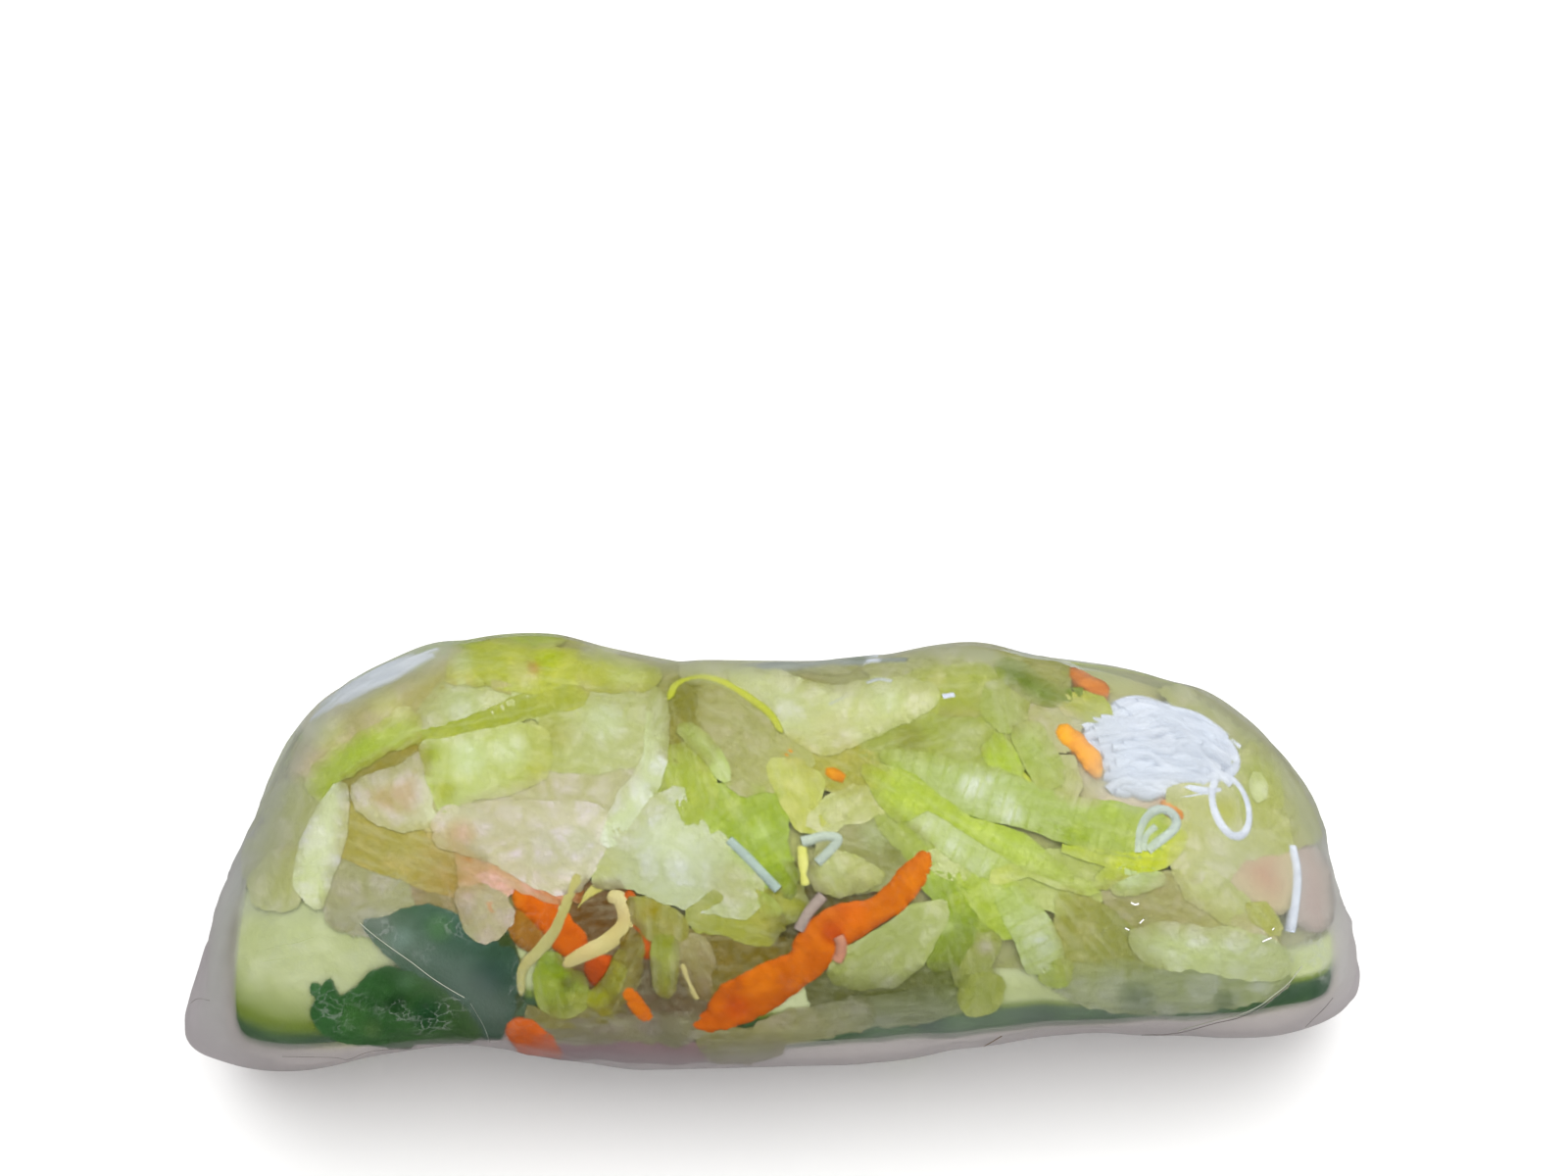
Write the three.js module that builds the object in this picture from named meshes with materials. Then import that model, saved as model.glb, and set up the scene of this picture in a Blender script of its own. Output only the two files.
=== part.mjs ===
// A rice paper roll: one clear, wet sheet of rice paper wrapped and tucked round a packed
// filling. It is sealed all round, so it is one solid: the outside of the sheet, with the
// forms that the filling presses into it. Millimetres, +Z up. The roll lies along X on its
// flat underside, with its front towards -Y, and the origin is under its middle, at the base.
import * as THREE from 'three';
import { mergeVertices } from 'three/addons/utils/BufferGeometryUtils.js';

// Driving dimensions
const rollLength = 129;
const rollWidth = 42;
const rollHeight = 36;

// How the round pillow differs from a plain one
const sectionRoundness = 2.3; // 2 is an ellipse, more is squarer
const baseFlat = 1.6; // how much of the round underside the table flattens
const endAxisShare = 0.6; // height of an end's middle, as a share of half the height
const taper = 0.12; // the left end is this share thicker than the right one
const backLean = 1.0; // the top leans back by this

// The low front corner of each end reaches furthest, and the top and the back are shorter:
// topInset and backInset in mm. insetFrom is the share of the height where that starts, and
// insetPower bends the end's slope.
const ends = {
  left: { roundness: 9, topInset: 14.8, insetFrom: 0.25, insetPower: 1.35, backInset: 5, pleats: 4, phase: 0.6 },
  right: { roundness: 5.5, topInset: 11.5, insetFrom: 0, insetPower: 1.2, backInset: 3.6, pleats: 5, phase: 2.1 },
};

// Mesh
const ringsAlong = 66;
const pointsAround = 78;

// Half of the roll's outline from above, from one tip to the other, evenly paced by arc length.
class LengthProfile extends THREE.Curve {
  getPoint(t, target = new THREE.Vector2()) {
    const angle = Math.PI * (1 - t);
    const power = 2 / (t < 0.5 ? ends.left.roundness : ends.right.roundness);
    const along = Math.sign(Math.cos(angle)) * Math.abs(Math.cos(angle)) ** power;
    return target.set((along * rollLength) / 2, (Math.sin(angle) ** power * rollWidth) / 2);
  }
}

// The roll's cross-section, from the front (-Y) over the top, in shares of half its size.
class CrossSection extends THREE.Curve {
  getPoint(t, target = new THREE.Vector2()) {
    const angle = 2 * Math.PI * t;
    const power = 2 / sectionRoundness;
    const level = Math.sign(Math.cos(angle)) * Math.abs(Math.cos(angle)) ** power;
    const up = Math.sign(Math.sin(angle)) * Math.abs(Math.sin(angle)) ** power;
    return target.set(-level, up);
  }
}

const lengthProfile = new LengthProfile();
const crossSection = new CrossSection();
lengthProfile.arcLengthDivisions = 1200;
crossSection.arcLengthDivisions = 1200;

// Heaps and hollows of the filling: where along the roll (mm), how wide (mm), how much the
// section grows there, and the turn (degrees, front 0, top 90, back 180) that it faces.
const heaps = [
  { along: -46, spread: 12.5, turn: 100, reach: 60, grow: 0.13 },
  { along: -6, spread: 9, turn: 90, reach: 40, grow: 0.025 },
  { along: 12, spread: 16, turn: 80, reach: 60, grow: 0.065 },
  { along: 44.5, spread: 12, turn: 100, reach: 50, grow: 0.13 },
  { along: -50, spread: 9, turn: 15, reach: 40, grow: 0.05 },
  { along: -37, spread: 13, turn: -28, reach: 45, grow: -0.14 },
  { along: 34, spread: 18, turn: -28, reach: 45, grow: -0.13 },
  { along: -34, spread: 9, turn: 150, reach: 45, grow: 0.08 },
  { along: 24, spread: 10, turn: 150, reach: 45, grow: 0.11 },
  { along: -24, spread: 18, turn: 185, reach: 45, grow: 0.05 },
  { along: 22, spread: 17, turn: 190, reach: 50, grow: 0.055 },
];

// Pieces of the filling that stand out under the sheet as ridges: the ends of each as
// [along, turn], how far its middle swings sideways, and its half width and height in mm.
const ridges = [
  { name: 'long carrot strip', from: [-9, 6], to: [16, 60], swing: 1.5, half: 2.2, height: 0.9 },
  { name: 'left carrot strip', from: [-29, 52], to: [-19, 27], swing: -1, half: 2.0, height: 0.6 },
  { name: 'low carrot end', from: [-28, 4], to: [-23, -8], swing: 0, half: 2.2, height: 0.7 },
  { name: 'top carrot strip', from: [30, 100], to: [35, 84], swing: 0.6, half: 1.5, height: 0.5 },
  { name: 'back carrot strip', from: [31, 132], to: [37, 118], swing: 0, half: 1.5, height: 0.5 },
  { name: 'cucumber edge', from: [-55, 8], to: [58, 14], swing: 2, half: 3.4, height: 1.1 },
  { name: 'left lettuce rib', from: [-47, 88], to: [-51, 50], swing: 1, half: 2.2, height: 0.7 },
  { name: 'middle lettuce rib', from: [-11, 116], to: [-17, 66], swing: 2, half: 2.4, height: 0.8 },
  { name: 'yellow lettuce fold', from: [-12, 128], to: [1, 104], swing: -2, half: 2.2, height: 0.7 },
  { name: 'long lettuce shred', from: [9, 88], to: [32, 26], swing: -1.5, half: 3.2, height: 0.7 },
  { name: 'upper lettuce shred', from: [11, 92], to: [41, 62], swing: 2, half: 2.8, height: 0.7 },
  { name: 'low lettuce shred', from: [14, 52], to: [18, 14], swing: 1, half: 3.0, height: 0.6 },
  { name: 'pale lettuce rib', from: [-38, 78], to: [-6, 58], swing: -3, half: 4.0, height: 0.7 },
  { name: 'noodle loop', from: [48, 84], to: [52, 62], swing: 2.5, half: 1.2, height: 0.5 },
  { name: 'noodle heap', from: [37, 98], to: [48, 84], swing: 0, half: 5.0, height: 1.0 },
  { name: 'back lettuce rib', from: [-34, 176], to: [6, 158], swing: 3, half: 3.4, height: 0.8 },
  { name: 'back lettuce shred', from: [8, 200], to: [40, 168], swing: -3, half: 3.2, height: 0.8 },
  { name: 'back noodle bundle', from: [-50, 150], to: [-18, 204], swing: 2, half: 3.6, height: 0.7 },
];

// The sheet is round, and its rim ends low on the front: a shallow bow that runs under the
// base in the middle and climbs towards both ends. The last layer lies above it, as a step.
const rim = { middle: 9.7, lowTurn: -19.4, rise: 0.021, step: 0.45, softness: 3, fade: 75 };

// The sides of the sheet are folded in and gather in pleats that turn round each end.
const pleats = { depth: 0.35, swirl: 2.4, atPace: 0.075, reach: 0.045 };
const dimple = { depth: 0.6, reach: 0.045 };

// Waves that cross each other, as radians for each mm along X, Y and Z.
const bumps = [
  { size: 0.22, first: new THREE.Vector3(0.31, 0, 0.23), second: new THREE.Vector3(-0.19, 0.27, 0) },
  { size: 0.16, first: new THREE.Vector3(0.53, -0.41, 0), second: new THREE.Vector3(0.29, 0, 0.37) },
];

const degrees = Math.PI / 180;

function bell(distance, width) {
  return Math.exp(-((distance / width) ** 2));
}

// From one turn to another in degrees, the shorter way round, as -180 to 180.
function turnDifference(to, from) {
  return ((((to - from) % 360) + 540) % 360) - 180;
}

// A point of the smooth roll. pace runs from 0 at the left tip to 1 at the right tip, and
// turn from 0 at the front over the top (90) and back (180) to the underside (270).
function smoothPoint(pace, turn) {
  const profile = lengthProfile.getPointAt(pace);
  const section = crossSection.getPointAt((((turn / 360) % 1) + 1) % 1);
  const share = profile.y / (rollWidth / 2);
  let grow = 1 - (taper / 2) * (profile.x / (rollLength / 2));
  for (const heap of heaps) {
    const near = bell(profile.x - heap.along, heap.spread) * bell(turnDifference(turn, heap.turn), heap.reach);
    grow += heap.grow * near;
  }
  const halfHeight = (rollHeight + baseFlat) / 2;
  const axisHeight = halfHeight * (endAxisShare + (1 - endAxisShare) * share);
  const y = share * grow * section.x * (rollWidth / 2);
  const z = axisHeight + share * grow * section.y * halfHeight;
  const rise = Math.max(z / rollHeight, 0);
  const behind = THREE.MathUtils.smoothstep(y, -rollWidth / 6, rollWidth / 2);
  const end = profile.x < 0 ? ends.left : ends.right;
  const raised = Math.max(rise - end.insetFrom, 0) / (1 - end.insetFrom);
  const inset = (end.topInset * raised ** end.insetPower + end.backInset * behind) / (rollLength / 2);
  return new THREE.Vector3(profile.x * (1 - inset), y + backLean * rise, z);
}

// The pace along the profile whose ring is nearest a distance along the roll.
function paceAt(along) {
  let low = 0;
  let high = 1;
  for (let step = 0; step < 20; step += 1) {
    const middle = (low + high) / 2;
    if (lengthProfile.getPointAt(middle).x < along) low = middle;
    else high = middle;
  }
  return (low + high) / 2;
}

// A ridge's crest as points on the smooth roll.
function crestOf(ridge) {
  const points = [];
  const steps = 16;
  for (let step = 0; step <= steps; step += 1) {
    const t = step / steps;
    const along = THREE.MathUtils.lerp(ridge.from[0], ridge.to[0], t) + ridge.swing * Math.sin(Math.PI * t);
    points.push(smoothPoint(paceAt(along), THREE.MathUtils.lerp(ridge.from[1], ridge.to[1], t)));
  }
  return { ...ridge, points };
}

const crests = ridges.map(crestOf);

function ridgeHeight(point) {
  let height = 0;
  for (const crest of crests) {
    const nearest = Math.min(...crest.points.map((p) => p.distanceTo(point)));
    height += crest.height * bell(nearest, crest.half);
  }
  return height;
}

// The height of the sheet's last layer, which is highest at its rim and fades away above it.
function rimHeight(point, turn) {
  const edge = rim.lowTurn + rim.rise * (point.x - rim.middle) ** 2;
  const above = turnDifference(turn, edge);
  const isOver = THREE.MathUtils.smoothstep(above, -rim.softness, rim.softness);
  return rim.step * isOver * (1 - THREE.MathUtils.smoothstep(above, rim.softness, rim.fade));
}

// The gathers at an end, with the dimple that they close round its tip.
function pleatHeight(pace, turn) {
  const end = pace < 0.5 ? ends.left : ends.right;
  const fromTip = Math.min(pace, 1 - pace);
  const swirl = pleats.swirl * (fromTip / pleats.atPace);
  const uneven = 0.9 * Math.sin(2 * turn * degrees);
  const wave = Math.cos(end.pleats * turn * degrees + end.phase + swirl + uneven);
  const gather = pleats.depth * bell(fromTip - pleats.atPace, pleats.reach) * wave;
  return gather - dimple.depth * bell(fromTip, dimple.reach);
}

// Small bumps all over, where the sheet follows what is just under it.
function bumpHeight(point) {
  let height = 0;
  for (const { size, first, second } of bumps) {
    height += size * Math.sin(first.dot(point) + size) * Math.sin(second.dot(point));
  }
  return height;
}

// The outward direction of the smooth roll, from its slopes along and around.
function outward(pace, turn) {
  const paceNudge = 0.004;
  const turnNudge = 1.5;
  const ahead = smoothPoint(Math.min(1, pace + paceNudge), turn);
  const along = ahead.sub(smoothPoint(Math.max(0, pace - paceNudge), turn));
  const around = smoothPoint(pace, turn + turnNudge).sub(smoothPoint(pace, turn - turnNudge));
  return along.cross(around).normalize();
}

function rollPoint(pace, turn) {
  const point = smoothPoint(pace, turn);
  const isTip = pace < 1e-6 || pace > 1 - 1e-6;
  if (isTip) {
    point.x += Math.sign(0.5 - pace) * dimple.depth;
  } else {
    const relief = ridgeHeight(point) + rimHeight(point, turn) + pleatHeight(pace, turn) + bumpHeight(point);
    point.addScaledVector(outward(pace, turn), relief);
  }
  point.z = Math.max(baseFlat, point.z) - baseFlat;
  return point;
}

// A sphere with its poles on X gives the rings; every vertex then moves to its place on the roll.
function rollGeometry() {
  const sphere = new THREE.SphereGeometry(1, pointsAround, ringsAlong).rotateZ(Math.PI / 2);
  sphere.deleteAttribute('normal');
  sphere.deleteAttribute('uv');
  const geometry = mergeVertices(sphere, 1e-4);
  const position = geometry.getAttribute('position');
  const direction = new THREE.Vector3();
  for (let i = 0; i < position.count; i += 1) {
    direction.fromBufferAttribute(position, i);
    const pace = Math.acos(THREE.MathUtils.clamp(-direction.x, -1, 1)) / Math.PI;
    const turn = Math.atan2(direction.z, -direction.y) / degrees;
    const point = rollPoint(pace, turn);
    position.setXYZ(i, point.x, point.y, point.z);
  }
  geometry.computeBoundingBox();
  const { min, max } = geometry.boundingBox;
  geometry.translate(-(min.x + max.x) / 2, -(min.y + max.y) / 2, -min.z);
  geometry.computeVertexNormals();
  return geometry;
}

const ricePaper = new THREE.MeshStandardMaterial({ color: 0xc9cfae, roughness: 0.3, metalness: 0 });

const roll = new THREE.Mesh(rollGeometry(), ricePaper);
roll.name = 'rice_paper_roll';

const part = new THREE.Group();
part.add(roll);

export default part;
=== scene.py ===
import math
import random

import bmesh
import bpy
import numpy as np
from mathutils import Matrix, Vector, noise
from mathutils.bvhtree import BVHTree


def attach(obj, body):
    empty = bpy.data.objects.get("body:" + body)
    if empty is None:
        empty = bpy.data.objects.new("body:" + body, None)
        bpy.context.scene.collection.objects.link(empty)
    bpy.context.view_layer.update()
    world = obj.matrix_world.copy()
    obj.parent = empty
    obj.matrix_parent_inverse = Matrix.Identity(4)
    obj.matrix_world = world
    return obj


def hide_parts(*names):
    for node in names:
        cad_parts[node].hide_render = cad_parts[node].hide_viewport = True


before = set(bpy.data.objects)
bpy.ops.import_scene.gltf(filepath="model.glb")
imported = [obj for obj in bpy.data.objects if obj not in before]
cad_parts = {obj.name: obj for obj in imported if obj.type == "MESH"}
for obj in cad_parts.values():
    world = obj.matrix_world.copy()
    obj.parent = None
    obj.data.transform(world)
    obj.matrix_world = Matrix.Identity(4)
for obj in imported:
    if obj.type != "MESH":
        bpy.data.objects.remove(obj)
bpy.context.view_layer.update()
mm = 0.001

# The main view. Routes with "view" points are places in this frame, counted from its top left.
mainView = {
    "width": 1600,
    "height": 1200,
    "lens": 47.36,
    "sensor": 36.0,
    "lookDown": 50.0,
    "distance": 220.0,
    "aim": (0.0, 0.0, 18.0),
    "aimAt": (793, 870),
}


def makeCamera(view):
    down = math.radians(view["lookDown"])
    forward = Vector((0, math.cos(down), -math.sin(down)))
    up = Vector((0, math.sin(down), math.cos(down)))
    focal = view["lens"] * view["width"] / view["sensor"]
    across = (view["aimAt"][0] - view["width"] / 2) / focal
    above = (view["height"] / 2 - view["aimAt"][1]) / focal
    data = bpy.data.cameras.new("mainCamera")
    data.lens = view["lens"]
    data.sensor_width = view["sensor"]
    data.clip_start = 0.01
    camera = bpy.data.objects.new("mainCamera", data)
    toAim = forward + Vector((1, 0, 0)) * across + up * above
    camera.location = (Vector(view["aim"]) - toAim * view["distance"]) * mm
    camera.rotation_euler = (math.radians(90) - down, 0, 0)
    bpy.context.scene.collection.objects.link(camera)
    bpy.context.scene.camera = camera

    def rayThrough(x, y):
        side = (x - view["width"] / 2) / focal
        rise = (view["height"] / 2 - y) / focal
        return (forward + Vector((1, 0, 0)) * side + up * rise).normalized()

    def seenAt(places):
        toPlaces = places - np.array(camera.location)
        away = toPlaces @ np.array(forward)
        x = view["width"] / 2 + focal * toPlaces[:, 0] / away
        y = view["height"] / 2 - focal * (toPlaces @ np.array(up)) / away
        return np.stack([x, y], axis=1)

    return camera, rayThrough, seenAt


camera, rayThrough, seenAt = makeCamera(mainView)
print("camera placed")


def meshObject(name, bm):
    mesh = bpy.data.meshes.new(name)
    bm.to_mesh(mesh)
    bm.free()
    made = bpy.data.objects.new(name, mesh)
    bpy.context.scene.collection.objects.link(made)
    return made


def smoothShaded(piece):
    for polygon in piece.data.polygons:
        polygon.use_smooth = True
    return piece


def applied(piece):
    # the piece with its modifiers applied to its mesh
    shape = piece.evaluated_get(bpy.context.evaluated_depsgraph_get())
    mesh = bpy.data.meshes.new_from_object(shape)
    piece.modifiers.clear()
    piece.data = mesh
    return piece


def subdivided(piece, levels):
    fine = piece.modifiers.new("fine", "SUBSURF")
    fine.levels = fine.render_levels = levels
    return applied(piece)


def treeOf(*pieces):
    # one search tree over several finished pieces
    points = []
    faces = []
    for piece in pieces:
        shape = piece.evaluated_get(bpy.context.evaluated_depsgraph_get()).to_mesh()
        start = len(points)
        points += [v.co.copy() for v in shape.vertices]
        faces += [[start + i for i in p.vertices] for p in shape.polygons]
    return BVHTree.FromPolygons(points, faces)


skinLook = {"levels": 2, "mergeWithin": 0.002, "joinWithin": 40, "squareWithin": 60}


def makeSkin(node, look):
    # a fine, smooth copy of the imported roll: the form that the film is drawn over
    bm = bmesh.new()
    bm.from_mesh(node.data)
    bmesh.ops.remove_doubles(bm, verts=bm.verts, dist=look["mergeWithin"] * mm)
    bmesh.ops.join_triangles(
        bm,
        faces=bm.faces,
        angle_face_threshold=math.radians(look["joinWithin"]),
        angle_shape_threshold=math.radians(look["squareWithin"]),
    )
    return smoothShaded(subdivided(meshObject("ricePaperFilm", bm), look["levels"]))


film = makeSkin(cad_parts["rice_paper_roll"], skinLook)
skinTree = treeOf(film)
print("skin ready,", len(film.data.vertices), "points")


def underSkin(point, depth):
    # the place at a depth under the skin nearest to a point, and the way out from there
    place, normal, face, distance = skinTree.find_nearest(point)
    return place - normal * depth * mm, normal


def seenOnSkin(x, y):
    # where a ray of the main view meets the skin
    way = rayThrough(x, y)
    place = skinTree.ray_cast(camera.location, way)[0]
    if place is None:
        beside = camera.location + way * mainView["distance"] * mm
        place = skinTree.find_nearest(beside)[0]
    return place


axisHeight = 18.0
roundness = 20.0


def turnedOnSkin(along, around):
    # a place on the skin by its distance along the roll, and round it from the front over the top
    turn = around / roundness
    out = Vector((0, -math.cos(turn), math.sin(turn)))
    axis = Vector((along, 0, axisHeight)) * mm
    place = skinTree.ray_cast(axis + out * 60 * mm, -out)[0]
    return place if place is not None else skinTree.find_nearest(axis + out * roundness * mm)[0]


# Two ways to state a place: in the main view, or along and round the roll. Each with its unit in mm
charts = {"view": (seenOnSkin, 0.104), "round": (turnedOnSkin, 1.0)}


def curveThrough(points, steps, closed=False):
    # evenly counted places on a smooth curve through the points
    points = [np.array(p, float) for p in points]
    if closed:
        ends = [points[-1], *points, points[0], points[1]]
    else:
        ends = [2 * points[0] - points[1], *points, 2 * points[-1] - points[-2]]
    spans = len(ends) - 3
    route = []
    for step in range(steps if closed else steps + 1):
        t = step / steps * spans
        i = min(int(t), spans - 1)
        a, b, c, d = ends[i : i + 4]
        t -= i
        bend = (2 * a - 5 * b + 4 * c - d) * t**2 + (3 * b - a - 3 * c + d) * t**3
        route.append(0.5 * (2 * b + (c - a) * t + bend))
    return np.array(route)


def placesOf(piece, steps):
    place = charts[piece.get("chart", "view")][0]
    return [place(x, y) for x, y in curveThrough(piece["route"], steps)]


def linear(red, green, blue):
    # a colour of 0 to 255 as it shows on a screen, in the linear light that shaders use
    def one(value):
        share = value / 255
        return share / 12.92 if share <= 0.04045 else ((share + 0.055) / 1.055) ** 2.4

    return (one(red), one(green), one(blue), 1.0)


# How much of a piece's colour the wet film hides, and what it adds
veil = {"share": 0.07, "color": linear(200, 202, 200), "light": 1.05, "least": 0.001, "most": 0.95}


def under(color):
    # the bare colour of a piece that shows like this under the film
    share = veil["share"]
    bare = [(c - share * v) / (1 - share) / veil["light"] for c, v in zip(linear(*color), veil["color"])]
    return np.array([min(max(c, veil["least"]), veil["most"]) for c in bare[:3]])


def insideOutline(points, outline):
    # which of the points lie inside a closed outline
    x, y = points[:, 0, None], points[:, 1, None]
    x0, y0 = outline[:, 0], outline[:, 1]
    x1, y1 = np.roll(x0, -1), np.roll(y0, -1)
    rise = np.where(y1 == y0, 1e-9, y1 - y0)
    crosses = ((y0 > y) != (y1 > y)) & (x < (x1 - x0) * (y - y0) / rise + x0)
    return crosses.sum(axis=1) % 2 == 1


def blended(first, second, share):
    return first * (1 - share) + second * share


# How rough torn edges and crumpled fillings are: the noise's falloff, step in scale and count
tearNoise = (0.6, 2.0, 3)
# Pieces deeper than this, in millimetres, are made larger
growBelow = 0.3


def pushedOut(outline, amounts):
    # a closed outline with each of its points moved outwards
    after = np.roll(outline, -1, axis=0)
    area = (outline[:, 0] * after[:, 1] - after[:, 0] * outline[:, 1]).sum() / 2
    ahead = after - np.roll(outline, 1, axis=0)
    lengths = np.maximum(np.hypot(*ahead.T), 1e-6)
    outward = np.stack([ahead[:, 1], -ahead[:, 0]], axis=1) / lengths[:, None] * np.sign(area)
    return outline + outward * amounts[:, None]


def raggedOutline(piece, kind, unit, phase):
    # the piece's outline with a torn edge. The deeper a piece, the further it runs on below others
    corners = np.array(piece["outline"], float)
    count = kind["perPoint"]
    outline = curveThrough(corners, count * len(corners), closed=True)
    share = (np.arange(len(outline)) % count / count)[:, None]
    start = np.repeat(corners, count, axis=0)
    straight = blended(start, np.roll(start, -count, axis=0), share)
    outline = blended(outline, straight, kind["straight"])
    ragged = piece.get("ragged", kind["ragged"])
    depth = float(np.mean(piece["depth"]))
    grow = kind["growAll"] + kind["grow"] * max(depth - growBelow, 0)
    spots = [Vector((*(point * unit * kind["ragScale"]), phase)) for point in outline]
    torn = [grow + ragged * noise.fractal(spot, *tearNoise) for spot in spots]
    return pushedOut(outline, np.array(torn) / unit)


# The pieces lie close on each other, and the whole heap swells and sinks a little
heap = {"top": 0.3, "squeeze": 0.12, "swell": 0.16, "mean": 0.15, "scale": 95, "second": (0.5, 2.3)}


def inHeap(depth, place):
    half, finer = heap["second"]
    wave = noise.noise(place * heap["scale"]) + half * noise.noise(place * heap["scale"] * finer)
    return heap["top"] + (depth - heap["top"]) * heap["squeeze"] + heap["swell"] * (wave + heap["mean"])


def gridInside(bm, outline, unit, step):
    # a grid of vertices within the outline, and where each of them lies
    low, high = outline.min(axis=0), outline.max(axis=0)
    across, up = np.maximum(np.ceil((high - low) * unit / step), 2).astype(int)
    verts = bmesh.ops.create_grid(bm, x_segments=int(across), y_segments=int(up), size=0.5)["verts"]
    flat = np.array([(v.co.x + 0.5, v.co.y + 0.5) for v in verts]) * (high - low) + low
    inside = insideOutline(flat, outline)
    where = {v: p for v, p, keep in zip(verts, flat, inside) if keep}
    bmesh.ops.delete(bm, geom=[v for v, keep in zip(verts, inside) if not keep], context="VERTS")
    bare = [v for v in where if not v.link_faces]
    for vert in bare:
        del where[vert]
    bmesh.ops.delete(bm, geom=bare, context="VERTS")
    return where


# The relief of a piece: "across" and "wave" for its folds, "cell" for puffed cells, "rib" for ribs
relief = {"across": 1.6, "wave": 0.25, "cell": 0.6, "cellAcross": 0.7, "ribEvery": 1.7, "rib": 0.12}
leastDepth = 0.12


def reliefOf(piece, kind, u, v, fromEdge, phase):
    # how much deeper than the piece itself one place of it lies
    waves = kind["waves"]
    wave = noise.noise(Vector((u * waves, v * waves * relief["across"], phase)))
    cell = noise.voronoi(Vector((u * relief["cellAcross"], v, phase)) * kind["cells"])[0][0]
    dip = max(1 - fromEdge / kind["rim"], 0)
    rib = piece.get("rib", 0) * math.sin(2 * math.pi * v / relief["ribEvery"] + wave)
    folds = piece.get("ruffle", kind["ruffle"]) * (wave + relief["wave"] + relief["cell"] * (cell - 0.5))
    return folds + kind["rimDrop"] * dip * dip + relief["rib"] * rib


def addPatch(bm, piece, kind, seed):
    # one leaf or slice with its own outline, laid at its depth under the skin
    phase = random.Random(seed).uniform(0, 100)
    place, unit = charts[piece.get("chart", "view")]
    outline = raggedOutline(piece, kind, unit, phase)
    where = gridInside(bm, outline, unit, piece.get("step", kind["step"]))
    uv = bm.loops.layers.uv.verify()
    tint, crossed, rim = patchLayers(bm)
    grain = math.radians(piece["grain"])
    way = np.array([math.cos(grain), math.sin(grain)])
    across = np.array([-way[1], way[0]])
    reach = outline @ way
    start, span = reach.min(), max(np.ptp(reach), 1e-6)
    colors = np.array([under(c) for c in piece["colors"]])
    depths = np.atleast_1d(piece["depth"])
    edge = under(piece.get("edge", piece["colors"][0]))
    edgeShare = piece.get("edgeShare", 0.6 if "edge" in piece else 0)
    edgeWidth = piece.get("edgeWidth", kind["edgeWidth"])
    spots = [(x, y, radius, under(spot)) for x, y, radius, spot in piece.get("spots", [])]
    mapped = {}
    for vert, point in where.items():
        if vert.is_boundary:
            point = outline[np.argmin(((outline - point) ** 2).sum(axis=1))]
            fromEdge = 0.0
        else:
            fromEdge = math.sqrt(((outline - point) ** 2).sum(axis=1).min()) * unit
        u, v = point @ way * unit, point @ across * unit
        share = (point @ way - start) / span
        depth = float(np.interp(share, np.linspace(0, 1, len(depths)), depths))
        depth += reliefOf(piece, kind, u, v, fromEdge, phase)
        color = np.array([np.interp(share, np.linspace(0, 1, len(colors)), c) for c in colors.T])
        near = max(1 - fromEdge / edgeWidth, 0)
        color = blended(color, edge, edgeShare * near * (1.5 - 0.5 * near) if near < 1 else edgeShare)
        for x, y, radius, spot in spots:
            away = math.hypot(point[0] - x, point[1] - y) / radius
            color = blended(color, spot, max(1 - away * away, 0))
        onSkin = place(*point)
        sunk = inHeap(depth, onSkin) + piece.get("sunk", 0)
        vert.co = underSkin(onSkin, max(sunk, leastDepth))[0]
        vert[tint] = (*color, 1.0)
        vert[crossed] = piece.get("crossed", 0)
        vert[rim] = fromEdge
        mapped[vert] = (u, v)
    for face in {f for vert in mapped for f in vert.link_faces}:
        for loop in face.loops:
            loop[uv].uv = mapped[loop.vert]


def startPatches():
    bm = bmesh.new()
    bm.verts.layers.float_color.new("tint")
    bm.verts.layers.float.new("crossed")
    bm.verts.layers.float.new("fromEdge")
    return bm


def patchLayers(bm):
    # the colour of a place, how veined it is, and how far from its edge it lies
    numbers = bm.verts.layers.float
    return bm.verts.layers.float_color.get("tint"), numbers.get("crossed"), numbers.get("fromEdge")


def faceOutwards(bm):
    # turns each patch's faces to the outside of the roll
    bm.normal_update()
    wrong = [f for f in bm.faces if f.normal.dot(underSkin(f.calc_center_median(), 0)[1]) < 0]
    bmesh.ops.reverse_faces(bm, faces=wrong)


def leaf(name, depth, colors, grain, outline, **more):
    return {"name": name, "depth": depth, "colors": colors, "grain": grain, "outline": outline, **more}


# Colours in the tables are 0 to 255, as they show through the film
topGreen = (190, 197, 84)
freshGreen = (178, 191, 92)
vividGreen = (164, 184, 58)
paleGreen = (200, 210, 146)
whiteGreen = (216, 222, 192)
lemonLeaf = (216, 218, 162)
beigeLeaf = (206, 194, 150)
oliveLeaf = (172, 168, 104)
creamLeaf = (224, 215, 196)
veinBrown = (176, 140, 60)

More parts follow.
